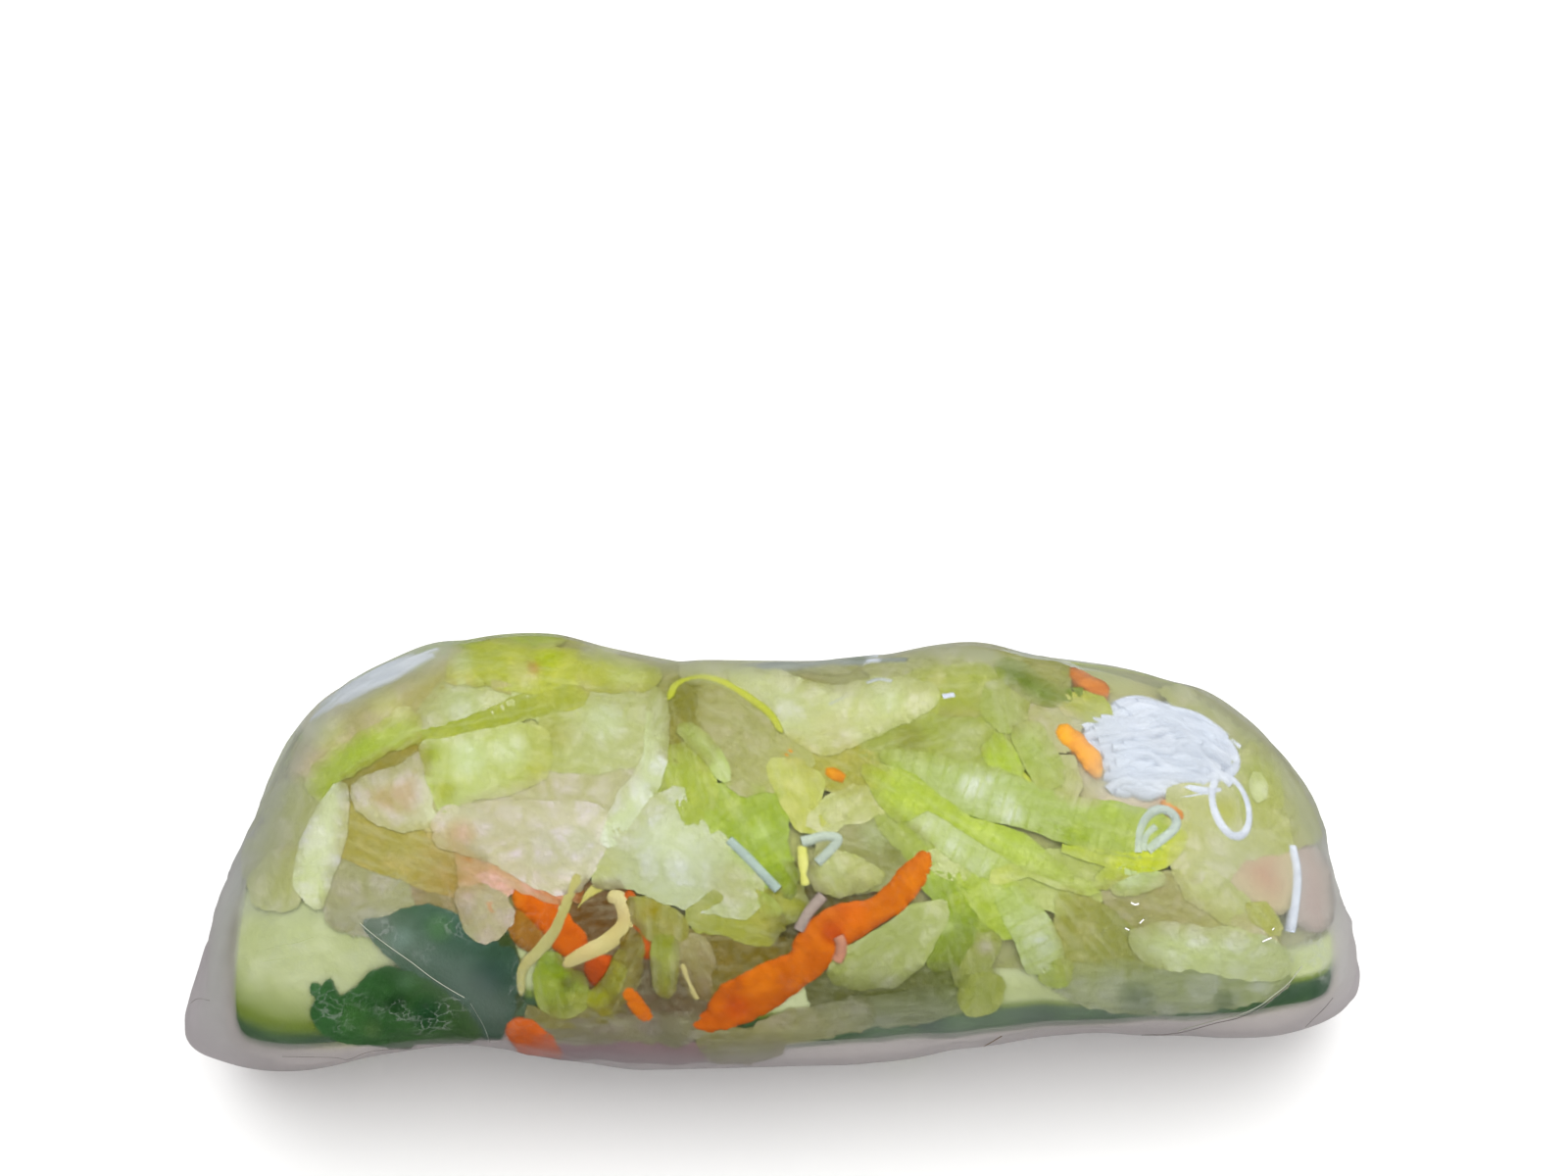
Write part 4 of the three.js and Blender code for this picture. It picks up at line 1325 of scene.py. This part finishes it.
# The last turn of the sheet ends in a bow, low on the front
filmRim = {"middle": 9.7, "lowTurn": -19.4, "rise": 0.021, "softness": 0.8}
filmHaze = {
    "layer": 0.004,
    "perMillimetre": 0.21,
    "from": 0.35,
    "ends": 0.7,
    "endsFrom": 54,
    "endsOver": 8,
    "low": 0.4,
    "lowFrom": (17.0, 13.0),
    "smoothing": 4,
    "marks": 0.15,
}
# Where folded or doubled sheet makes it milkier, and where extra cloud over the noodle bundle and along the
# line under the speckled leaf lightens their shade as painted light: a route, its width in units of the
# main view, and how much
hazeBands = [
    ([(318, 735), (345, 712), (380, 692), (420, 674), (450, 660)], 17, 0.9),
    ([(308, 748), (284, 785), (262, 825), (247, 862), (228, 900), (208, 940)], 17, 0.7),
    ([(600, 664), (660, 672), (720, 680), (790, 680), (860, 674)], 9, 0.4),
    ([(890, 666), (960, 662), (1010, 666)], 9, 0.4),
    ([(1110, 682), (1150, 688), (1180, 694)], 9, 0.3),
    ([(1120, 740), (1130, 780), (1160, 812)], 18, 0.25),
    ([(1200, 700), (1262, 730), (1304, 768), (1330, 820), (1350, 870)], 13, 0.4),
    ([(850, 706), (880, 700), (905, 708)], 16, 0.12),
    ([(1136, 744), (1180, 756), (1240, 784)], 42, 0.3),
    ([(1124, 796), (1160, 806), (1196, 804)], 14, 0.3),
    ([(250, 926), (290, 928), (336, 934), (384, 940)], 12, 0.2),
    ([(1322, 962), (1340, 968), (1356, 976)], 16, 0.3),
    ([(390, 950), (430, 976), (470, 1000), (505, 1030)], 22, 0.16),
    ([(290, 800), (276, 840), (262, 880), (250, 910)], 24, 0.3),
    ([(1256, 880), (1300, 892), (1345, 912)], 36, 0.32),
    ([(470, 830), (520, 840), (580, 850), (610, 866)], 22, 0.2),
    ([(650, 850), (690, 870), (720, 890)], 26, 0.2),
    ([(900, 1056), (980, 1046), (1060, 1034), (1140, 1026), (1220, 1026)], 24, 0.18),
    ([(560, 1072), (640, 1078), (720, 1080), (820, 1076)], 14, 0.25),
]
# Where the sheet has dried in small curls, in the same way
markBands = [
    ([(300, 930), (380, 930), (440, 950), (500, 990)], 56, 0.8),
    ([(330, 1040), (400, 1040), (480, 1050)], 40, 0.8),
    ([(1340, 950), (1350, 985)], 26, 1.0),
    ([(1160, 940), (1240, 960)], 34, 0.7),
    ([(1100, 1020), (1250, 1030)], 26, 0.5),
]


def bandAmounts(seen, bands):
    total = np.zeros(len(seen))
    for route, width, amount in bands:
        near = np.min([np.hypot(*(seen - point).T) for point in curveThrough(route, 40)], axis=0)
        total += amount * np.exp(-((near / width) ** 2))
    return total


def neighbourMean(values, edges, counts):
    total = np.zeros_like(values)
    np.add.at(total, edges[:, 0], values[edges[:, 1]])
    np.add.at(total, edges[:, 1], values[edges[:, 0]])
    return total / counts


def gapsUnder(places, normals, look):
    # how far below each place of the skin the filling lies, in millimetres
    filling = treeOf(lettuce, lettuceRibs, carrot, riceNoodles, cucumber, herbs, crab, core)
    gaps = np.full(len(places), look["search"])
    for i, (place, normal) in enumerate(zip(places, normals)):
        start = Vector(place + normal * look["above"] * mm)
        away = filling.ray_cast(start, Vector(-normal), (look["search"] + look["above"]) * mm)[3]
        if away is not None:
            gaps[i] = away / mm - look["above"]
    return gaps


def hazeOf(places, left, facing, rim, haze):
    # how much cloud the film shows: doubled below its rim, and thicker where it bridges hollows
    along, height = places[:, 0] / mm, places[:, 2] / mm
    turns = np.degrees(np.arctan2(height - axisHeight, -places[:, 1] / mm))
    bow = rim["lowTurn"] + rim["rise"] * (along - rim["middle"]) ** 2
    over = (turns - bow + 180) % 360 - 180
    thickness = haze["layer"] * (1 + np.clip(over / rim["softness"] + 0.5, 0, 1))
    thickness += haze["ends"] * np.clip((np.abs(along) - haze["endsFrom"]) / haze["endsOver"], 0, 1)
    high, low = haze["lowFrom"]
    thickness += haze["low"] * np.clip((high - height) / (high - low), 0, 1)
    thickness += haze["perMillimetre"] * np.maximum(left - haze["from"], 0)
    thickness += bandAmounts(seenAt(places), hazeBands) * facing
    return 1 - np.exp(-thickness)


def drapeFilm(look, rim, haze):
    mesh = film.data
    places = np.array([v.co for v in mesh.vertices])
    normals = np.array([v.normal for v in mesh.vertices])
    edges = np.array([e.vertices for e in mesh.edges])
    counts = np.zeros(len(places))
    np.add.at(counts, edges.ravel(), 1)
    gaps = gapsUnder(places, normals, look)
    room = gaps - look["clearance"]
    sink = np.clip(room * look["follow"], -look["liftMost"], look["sinkMost"])
    sink = np.where(room < 0, np.maximum(room, -look["liftMost"]), sink)
    for turn in range(look["smoothing"]):
        sink = 0.5 * sink + 0.5 * neighbourMean(sink, edges, counts)
        sink = np.minimum(sink, np.maximum(room, -look["liftMost"]))
    crease = np.array([noise.noise(Vector(p)) for p in places * look["creaseScale"]])
    nearEnd = np.clip((np.abs(places[:, 0]) / mm - look["creaseFrom"]) / look["creaseOver"], 0, 1)
    sink -= look["creaseDepth"] * crease * nearEnd
    places -= normals * (sink * mm)[:, None]
    places[:, 2] = np.maximum(places[:, 2], 0)
    mesh.vertices.foreach_set("co", places.ravel())
    left = np.clip(gaps - sink, 0, look["search"])
    for turn in range(haze["smoothing"]):
        left = 0.5 * left + 0.5 * neighbourMean(left, edges, counts)
    facing = ((np.array(camera.location) - places) * normals).sum(axis=1) > 0
    marks = haze["marks"] + bandAmounts(seenAt(places), markBands) * facing
    for name, values in (("haze", hazeOf(places, left, facing, rim, haze)), ("marks", marks)):
        attribute = mesh.attributes.new(name, "FLOAT", "POINT")
        attribute.data.foreach_set("value", values.astype(np.float32))
    mesh.update()


drapeFilm(filmDrape, filmRim, filmHaze)
print("film drawn down")

# painted highlight: a near-white colour for the small glints on the wet sheet
paintedGlint = linear(250, 250, 248)
# painted shade: a dark colour for the shade in the sheet's creases and folds and under its right rim
creaseShade = linear(132, 126, 124)
sheetLines = [
    {"name": "left rim",
     "route": [(367, 942), (380, 953), (400, 968), (420, 982), (441, 998), (460, 1010), (474, 1018)],
     "radius": 0.04, "color": linear(180, 184, 166)},
    # painted shade: a dark line in the fold
    {"name": "left fold", "route": [(480, 1024), (486, 1034), (494, 1048), (500, 1064)], "radius": 0.03,
     "color": linear(120, 128, 116)},
    {"name": "right rim",
     "route": [(1329, 985), (1315, 1003), (1300, 1015), (1284, 1027), (1262, 1036), (1240, 1041),
               (1202, 1052)], "radius": 0.05, "color": linear(172, 174, 160)},
    {"name": "right rim shade",
     "route": [(1316, 1005), (1300, 1018), (1284, 1030), (1262, 1039), (1240, 1044), (1202, 1054),
               (1165, 1056)], "radius": 0.05, "color": creaseShade},
    {"name": "right end fold", "route": [(1360, 1018), (1352, 1028), (1345, 1035), (1332, 1048)],
     "radius": 0.04, "color": creaseShade},
    {"name": "left end crease", "route": [(194, 1024), (202, 1019), (214, 1021)], "radius": 0.04,
     "color": creaseShade},
    {"name": "low left crease", "route": [(288, 1078), (340, 1079), (355, 1081), (378, 1073), (420, 1069)],
     "radius": 0.04, "color": creaseShade},
    {"name": "flesh wrinkle", "route": [(270, 969), (285, 965), (302, 962), (320, 956)], "radius": 0.022,
     "color": linear(176, 182, 142)},
    {"name": "second wrinkle", "route": [(268, 981), (290, 978), (306, 976)], "radius": 0.02,
     "color": linear(178, 184, 144)},
    # painted shade: a dark line along the base
    {"name": "base line", "route": [(1022, 1057), (1012, 1063), (1003, 1068)], "radius": 0.06,
     "color": linear(110, 92, 70)},
    {"name": "first glint", "route": [(1154, 921), (1158, 923), (1162, 922)], "radius": 0.09,
     "color": paintedGlint},
    {"name": "second glint", "route": [(1163, 942), (1167, 938)], "radius": 0.08, "color": paintedGlint},
    {"name": "third glint", "route": [(1148, 947), (1152, 949)], "radius": 0.08, "color": paintedGlint},
    {"name": "fourth glint", "route": [(1288, 961), (1292, 959), (1297, 957)], "radius": 0.08,
     "color": paintedGlint},
    {"name": "fifth glint", "route": [(1298, 949), (1300, 947)], "radius": 0.07, "color": paintedGlint},
]


# Places for each point of a line's route, and how far it stands out, as a share of its radius
lineSteps, lineRaised = 6, 0.3


def makeSheetLines():
    # fine lines of the sheet itself: its rims, dark lines in a few creases and folds and under the right
    # rim as painted shade, and small white glints on it as painted highlights
    drawn = treeOf(film)
    pieces = []
    for line in sheetLines:
        route = []
        for x, y in curveThrough(line["route"], lineSteps * len(line["route"])):
            place, normal = drawn.ray_cast(camera.location, rayThrough(x, y))[:2]
            if place is not None:
                route.append(place + normal * lineRaised * line["radius"] * mm)
        piece = tubesAlong(line["name"], [route], line["radius"], 1)
        tint = piece.data.attributes.new("tint", "FLOAT_COLOR", "POINT")
        for value in tint.data:
            value.color = line["color"]
        pieces.append(piece)
    with bpy.context.temp_override(active_object=pieces[0], selected_editable_objects=pieces):
        bpy.ops.object.join()
    pieces[0].name = "sheetLines"
    return pieces[0]


lines = makeSheetLines()
print("sheet lines drawn")


def add(tree, kind, inputs=None, **settings):
    # a shader node. Each input, by name or number, is a value or an output of another node
    node = tree.nodes.new("ShaderNode" + kind)
    for key, value in settings.items():
        setattr(node, key, value)
    for key, value in (inputs or {}).items():
        if isinstance(value, bpy.types.NodeSocket):
            tree.links.new(value, node.inputs[key])
        else:
            node.inputs[key].default_value = value
    return node


def newMaterial(name):
    # a material without nodes, its tree, and the place on the piece
    material = bpy.data.materials.new(name)
    material.use_nodes = True
    tree = material.node_tree
    tree.nodes.clear()
    return material, tree, add(tree, "TexCoord").outputs["Object"]


def read(tree, attribute, output="Fac"):
    return add(tree, "Attribute", attribute_name=attribute).outputs[output]


def combined(tree, operation, first, second, clamp=False):
    return add(tree, "Math", {0: first, 1: second}, operation=operation, use_clamp=clamp).outputs[0]


def scaled(tree, value, by, plus=0.0):
    inputs = {0: value, 1: by, 2: plus}
    return add(tree, "Math", inputs, operation="MULTIPLY_ADD", use_clamp=True).outputs[0]


def stepped(tree, value, low, high, curve="SMOOTHSTEP"):
    # from 0 to 1 as the value goes from low to high
    inputs = {"Value": value, "From Min": low, "From Max": high}
    return add(tree, "MapRange", inputs, interpolation_type=curve).outputs["Result"]


def mixed(tree, mask, first, second, blend="MIX"):
    # among a Mix node's sockets, inputs 0, 6 and 7 and output 2 are those for colours
    inputs = {0: mask, 6: first, 7: second}
    return add(tree, "Mix", inputs, data_type="RGBA", blend_type=blend).outputs[2]


def mixedShader(tree, share, first, second):
    return add(tree, "MixShader", {0: share, 1: first, 2: second}).outputs["Shader"]


def bentPlace(tree, place, scale, by):
    # the place pushed about by a noise
    bend = add(tree, "TexNoise", {"Vector": place, "Scale": scale}).outputs["Color"]
    return add(tree, "VectorMath", {0: bend, 1: by, 2: place}, operation="MULTIPLY_ADD").outputs["Vector"]


def startGroup(name, *numbers):
    # a node group that makes a mask from a place and the numbers named
    group = bpy.data.node_groups.new(name, "ShaderNodeTree")
    group.interface.new_socket("Place", in_out="INPUT", socket_type="NodeSocketVector")
    for number in numbers:
        group.interface.new_socket(number, in_out="INPUT", socket_type="NodeSocketFloat")
    group.interface.new_socket("Mask", in_out="OUTPUT", socket_type="NodeSocketFloat")
    return group, group.nodes.new("NodeGroupInput").outputs


def endGroup(group, mask):
    group.links.new(mask, group.nodes.new("NodeGroupOutput").inputs["Mask"])
    return group


def masked(tree, group, **inputs):
    return add(tree, "Group", inputs, node_tree=group).outputs["Mask"]


def mottleGroup():
    # a soft mask of noise, from 0 at the low level to 1 at the high one
    group, given = startGroup("mottle", "Scale", "Low", "High")
    grain = add(group, "TexNoise", {"Vector": given["Place"], "Scale": given["Scale"], "Detail": 3})
    return endGroup(group, stepped(group, grain.outputs["Fac"], given["Low"], given["High"]))


def leafCellGroup():
    # puffed cells between the fine veins of a leaf
    group, given = startGroup("leafCells", "Scale")
    bent = bentPlace(group, given["Place"], 0.5, (1.6, 1.6, 0))
    cells = add(group, "TexVoronoi", {"Vector": bent, "Scale": given["Scale"]}, feature="DISTANCE_TO_EDGE")
    return endGroup(group, stepped(group, cells.outputs["Distance"], 0.0, 0.34))


def crossVeinGroup():
    # thin veins across a leaf's grain, as strong as asked
    group, given = startGroup("crossVeins", "Strength")
    waves = {"Vector": given["Place"], "Scale": 0.26, "Distortion": 4.0, "Detail": 2.0, "Detail Scale": 0.5}
    bands = stepped(group, add(group, "TexWave", waves).outputs["Fac"], 0.0, 0.3)
    return endGroup(group, add(group, "Mix", {0: given["Strength"], 2: 1.0, 3: bands}).outputs[0])


def curlGroup():
    # fine, short curls of cloudiness, where the sheet has dried in wrinkles
    group, given = startGroup("filmCurls")
    bent = bentPlace(group, given["Place"], 600, (2.4 * mm, 2.4 * mm, 2.4 * mm))
    cells = add(group, "TexVoronoi", {"Vector": bent, "Scale": 760}, feature="DISTANCE_TO_EDGE")
    thin = stepped(group, cells.outputs["Distance"], 0.07, 0.02, "LINEAR")
    some = add(group, "TexNoise", {"Vector": given["Place"], "Scale": 190}).outputs["Fac"]
    return endGroup(group, combined(group, "MULTIPLY", thin, stepped(group, some, 0.5, 0.62, "LINEAR")))


mottle = mottleGroup()
leafCells = leafCellGroup()
crossVeins = crossVeinGroup()
filmCurls = curlGroup()


def mottled(tree, place, scale, low, high):
    return masked(tree, mottle, Place=place, Scale=scale, Low=low, High=high)


def stretched(tree, kind, scale):
    # the place on a piece ("Object") or along its grain ("UV"), drawn out
    place = add(tree, "TexCoord").outputs[kind]
    return add(tree, "Mapping", {"Vector": place, "Scale": scale}).outputs["Vector"]


def finishMaterial(tree, color, roughness, bump, height, through=0.0):
    # through: the share of light that passes through a thin piece
    lumps = add(tree, "Bump", {"Strength": 0.6, "Distance": height * mm, "Height": bump}).outputs["Normal"]
    surface = {"Base Color": color, "Roughness": roughness, "Specular IOR Level": 0.06, "Normal": lumps}
    shader = add(tree, "BsdfPrincipled", surface).outputs["BSDF"]
    if through:
        glow = add(tree, "BsdfTranslucent", {"Color": color}).outputs["BSDF"]
        shader = mixedShader(tree, through, shader, glow)
    add(tree, "OutputMaterial", {"Surface": shader})


def lettuceMaterial():
    material, tree, place = newMaterial("lettuceLeaf")
    tint = read(tree, "tint", "Color")
    along = stretched(tree, "UV", (0.8, 0.9, 1))
    cells = masked(tree, leafCells, Place=along, Scale=0.36)
    small = masked(tree, leafCells, Place=along, Scale=1.05)
    crossed = masked(tree, crossVeins, Place=along, Strength=read(tree, "crossed"))
    veins = mottled(tree, stretched(tree, "UV", (0.12, 1.0, 1)), 1.2, 0.45, 0.7)
    fine = mottled(tree, place, 1500, 0.3, 0.75)
    shade = mottled(tree, place, 170, 0.45, 0.8)
    line = mixed(tree, 1.0, tint, (0.88, 0.93, 0.62, 1), "MULTIPLY")
    lighter = mixed(tree, 1.0, tint, (1.19, 1.17, 1.55, 1), "MULTIPLY")
    bright = mixed(tree, 1.0, lighter, linear(238, 241, 218), "DARKEN")
    puffed = combined(tree, "MULTIPLY", scaled(tree, cells, 0.75, 0.25), crossed)
    celled = mixed(tree, puffed, line, bright)
    netted = mixed(tree, scaled(tree, small, -0.4, 0.4), celled, line)
    veined = mixed(tree, scaled(tree, veins, 0.14), netted, linear(226, 230, 196))
    dark = mixed(tree, 1.0, veined, (0.88, 0.92, 0.45, 1), "MULTIPLY")
    shaded = mixed(tree, scaled(tree, shade, 0.4), veined, dark)
    color = mixed(tree, scaled(tree, fine, 0.09), shaded, linear(240, 244, 214))
    finishMaterial(tree, color, 0.45, fine, 0.1, through=0.3)
    return material


def plainFoodMaterial(name, deep, scale, roughness):
    # the piece's own colour, with patches multiplied by another
    material, tree, place = newMaterial(name)
    patches = mottled(tree, place, scale, 0.35, 0.65)
    fibres = mottled(tree, stretched(tree, "UV", (0.6, 0.12, 1)), 1.6, 0.35, 0.7)
    color = mixed(tree, scaled(tree, patches, 0.5), read(tree, "tint", "Color"), deep, "MULTIPLY")
    finishMaterial(tree, color, roughness, fibres, 0.12)
    return material


def noodleMaterial():
    material, tree, place = newMaterial("riceNoodle")
    patches = mottled(tree, place, 240, 0.35, 0.65)
    fine = mottled(tree, place, 900, 0.3, 0.7)
    strands = mottled(tree, stretched(tree, "Object", (0.16, 1, 1)), 760, 0.38, 0.62)
    tint = read(tree, "tint", "Color")
    lit = mixed(tree, scaled(tree, patches, 0.6), tint, linear(236, 240, 244), "MULTIPLY")
    color = mixed(tree, scaled(tree, strands, 0.6), lit, linear(226, 228, 232), "MULTIPLY")
    finishMaterial(tree, color, 0.4, fine, 0.05, through=0.15)
    return material


def cucumberMaterial():
    material, tree, place = newMaterial("cucumber")
    rind = read(tree, "rind")
    patches = mottled(tree, place, 180, 0.35, 0.65)
    fine = mottled(tree, place, 700, 0.3, 0.7)
    streaks = mottled(tree, stretched(tree, "Object", (0.12, 1, 1)), 420, 0.35, 0.65)
    pale = mixed(tree, scaled(tree, streaks, 0.6), linear(186, 196, 140), linear(206, 212, 172))
    flesh = mixed(tree, scaled(tree, patches, 0.8), pale, linear(176, 186, 124))
    edged = mixed(tree, stepped(tree, rind, 0.05, 0.5), flesh, linear(108, 128, 38))
    skin = mixed(tree, patches, linear(48, 78, 52), linear(66, 98, 56))
    color = mixed(tree, stepped(tree, rind, 0.45, 0.8), edged, skin)
    finishMaterial(tree, color, 0.35, fine, 0.1)
    return material


def coreMaterial():
    material, tree, place = newMaterial("packedLeaves")
    broad = mottled(tree, place, 110, 0.4, 0.6)
    small = mottled(tree, place, 320, 0.35, 0.65)
    base = mixed(tree, broad, linear(168, 165, 104), linear(158, 164, 88))
    packed = mixed(tree, scaled(tree, small, 0.5), base, linear(184, 184, 130))
    color = mixed(tree, read(tree, "bare"), packed, linear(206, 198, 195))
    finishMaterial(tree, color, 0.5, small, 0.3)
    return material


# The milk turns to the darker "shade" colour below shadeTo mm, fully so below shadeFrom mm: painted shade
# of the roll's underside
filmLook = {
    "milk": linear(194, 197, 194),
    "shade": linear(182, 177, 179),
    "shadeFrom": 11,
    "shadeTo": 24,
    "milkThrough": 0.4,
    "sparkle": 2600,
    "lumpHeight": 0.06,
    "shineMost": 0.004,
    "paintedSparkle": 0.03,
    "curls": 0.3,
    "lampsThrough": 0.9,
    "straight": 0.36,
}


def filmMaterial(look):
    # clear, partly bending light, with milky cloud over it that is painted darker low down as painted
    # shade, a little shine, and open to the lamps
    material, tree, place = newMaterial("wetRicePaper")
    clouds = scaled(tree, mottled(tree, place, 300, 0.3, 0.7), 0.3, 0.85)
    cloudy = combined(tree, "MULTIPLY", read(tree, "haze"), clouds)
    # painted sparkle: small milky specks stand in for glints on the wet sheet
    paintedSparkle = scaled(tree, mottled(tree, place, look["sparkle"], 0.5, 0.8), look["paintedSparkle"])
    curls = scaled(tree, masked(tree, filmCurls, Place=place), look["curls"])
    curled = combined(tree, "MULTIPLY", curls, read(tree, "marks"))
    marked = combined(tree, "ADD", paintedSparkle, curled, clamp=True)
    veiled = combined(tree, "ADD", cloudy, marked, clamp=True)
    # painted shade: the milk takes the darker shade colour towards the bottom
    height = add(tree, "SeparateXYZ", {"Vector": place}).outputs["Z"]
    outOfShade = stepped(tree, height, look["shadeFrom"] * mm, look["shadeTo"] * mm)
    milkColor = mixed(tree, outOfShade, look["shade"], look["milk"])
    milk = add(tree, "BsdfDiffuse", {"Color": milkColor}).outputs[0]
    glow = add(tree, "BsdfTranslucent", {"Color": milkColor}).outputs[0]
    milky = mixedShader(tree, look["milkThrough"], milk, glow)
    grain = mottled(tree, place, look["sparkle"], 0.25, 0.75)
    lumpy = {"Strength": 0.35, "Distance": look["lumpHeight"] * mm, "Height": grain}
    lumps = add(tree, "Bump", lumpy).outputs["Normal"]
    bent = add(tree, "BsdfRefraction", {"Roughness": 0.9, "IOR": 1.42, "Normal": lumps}).outputs[0]
    straight = add(tree, "BsdfTransparent").outputs[0]
    clear = mixedShader(tree, look["straight"], bent, straight)
    body = mixedShader(tree, veiled, clear, milky)
    gloss = add(tree, "BsdfAnisotropic", {"Roughness": 0.36, "Normal": lumps}).outputs[0]
    shine = add(tree, "Fresnel", {"IOR": 1.24, "Normal": lumps}).outputs[0]
    wet = mixedShader(tree, combined(tree, "MINIMUM", shine, look["shineMost"]), body, gloss)
    shadowed = scaled(tree, add(tree, "LightPath").outputs["Is Shadow Ray"], look["lampsThrough"])
    lit = mixedShader(tree, shadowed, wet, add(tree, "BsdfTransparent").outputs[0])
    add(tree, "OutputMaterial", {"Surface": lit})
    return material


def dress(piece, material):
    piece.data.materials.clear()
    piece.data.materials.append(material)
    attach(piece, "root")


dress(lettuce, lettuceMaterial())
dress(lettuceRibs, plainFoodMaterial("lettuceRib", linear(236, 240, 200), 260, 0.4))
dress(carrot, plainFoodMaterial("carrot", linear(214, 186, 90), 640, 0.5))
dress(riceNoodles, noodleMaterial())
dress(cucumber, cucumberMaterial())
dress(herbs, plainFoodMaterial("herbLeaf", linear(150, 196, 150), 420, 0.45))
dress(crab, plainFoodMaterial("crabMeat", linear(250, 236, 232), 200, 0.4))
dress(core, coreMaterial())
dress(lines, plainFoodMaterial("sheetLine", linear(240, 240, 238), 700, 0.3))
dress(film, filmMaterial(filmLook))
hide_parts("rice_paper_roll")
print("materials on")

studio = {
    "floor": linear(250, 250, 249),
    "floorBelow": 0.05,
    "world": 0.8,
    "key": {"at": (0, 40, 420), "size": 420, "watts": 1.15},
    "fill": {"at": (300, -200, 240), "size": 300, "watts": 0.35},
}


def makeStudio(look):
    bm = bmesh.new()
    bmesh.ops.create_grid(bm, x_segments=1, y_segments=1, size=2.0)
    floor = meshObject("floor", bm)
    material, tree = newMaterial("paleFloor")[:2]
    pale = add(tree, "BsdfPrincipled", {"Base Color": look["floor"], "Roughness": 0.6}).outputs["BSDF"]
    add(tree, "OutputMaterial", {"Surface": pale})
    floor.data.materials.append(material)
    floor.location.z = -look["floorBelow"] * mm
    for name in ("key", "fill"):
        lamp = look[name]
        data = bpy.data.lights.new(name + "Light", "AREA")
        data.shape = "DISK"
        data.size = lamp["size"] * mm
        data.energy = lamp["watts"]
        light = bpy.data.objects.new(name + "Light", data)
        light.location = Vector(lamp["at"]) * mm
        light.rotation_euler = (-light.location).to_track_quat("-Z", "Y").to_euler()
        bpy.context.scene.collection.objects.link(light)
    world = bpy.data.worlds.new("studio")
    world.use_nodes = True
    sky = world.node_tree.nodes["Background"]
    sky.inputs["Color"].default_value = (1, 1, 1, 1)
    sky.inputs["Strength"].default_value = look["world"]
    bpy.context.scene.world = world
    bpy.context.scene.view_settings.view_transform = "Standard"


makeStudio(studio)
print("studio lit")
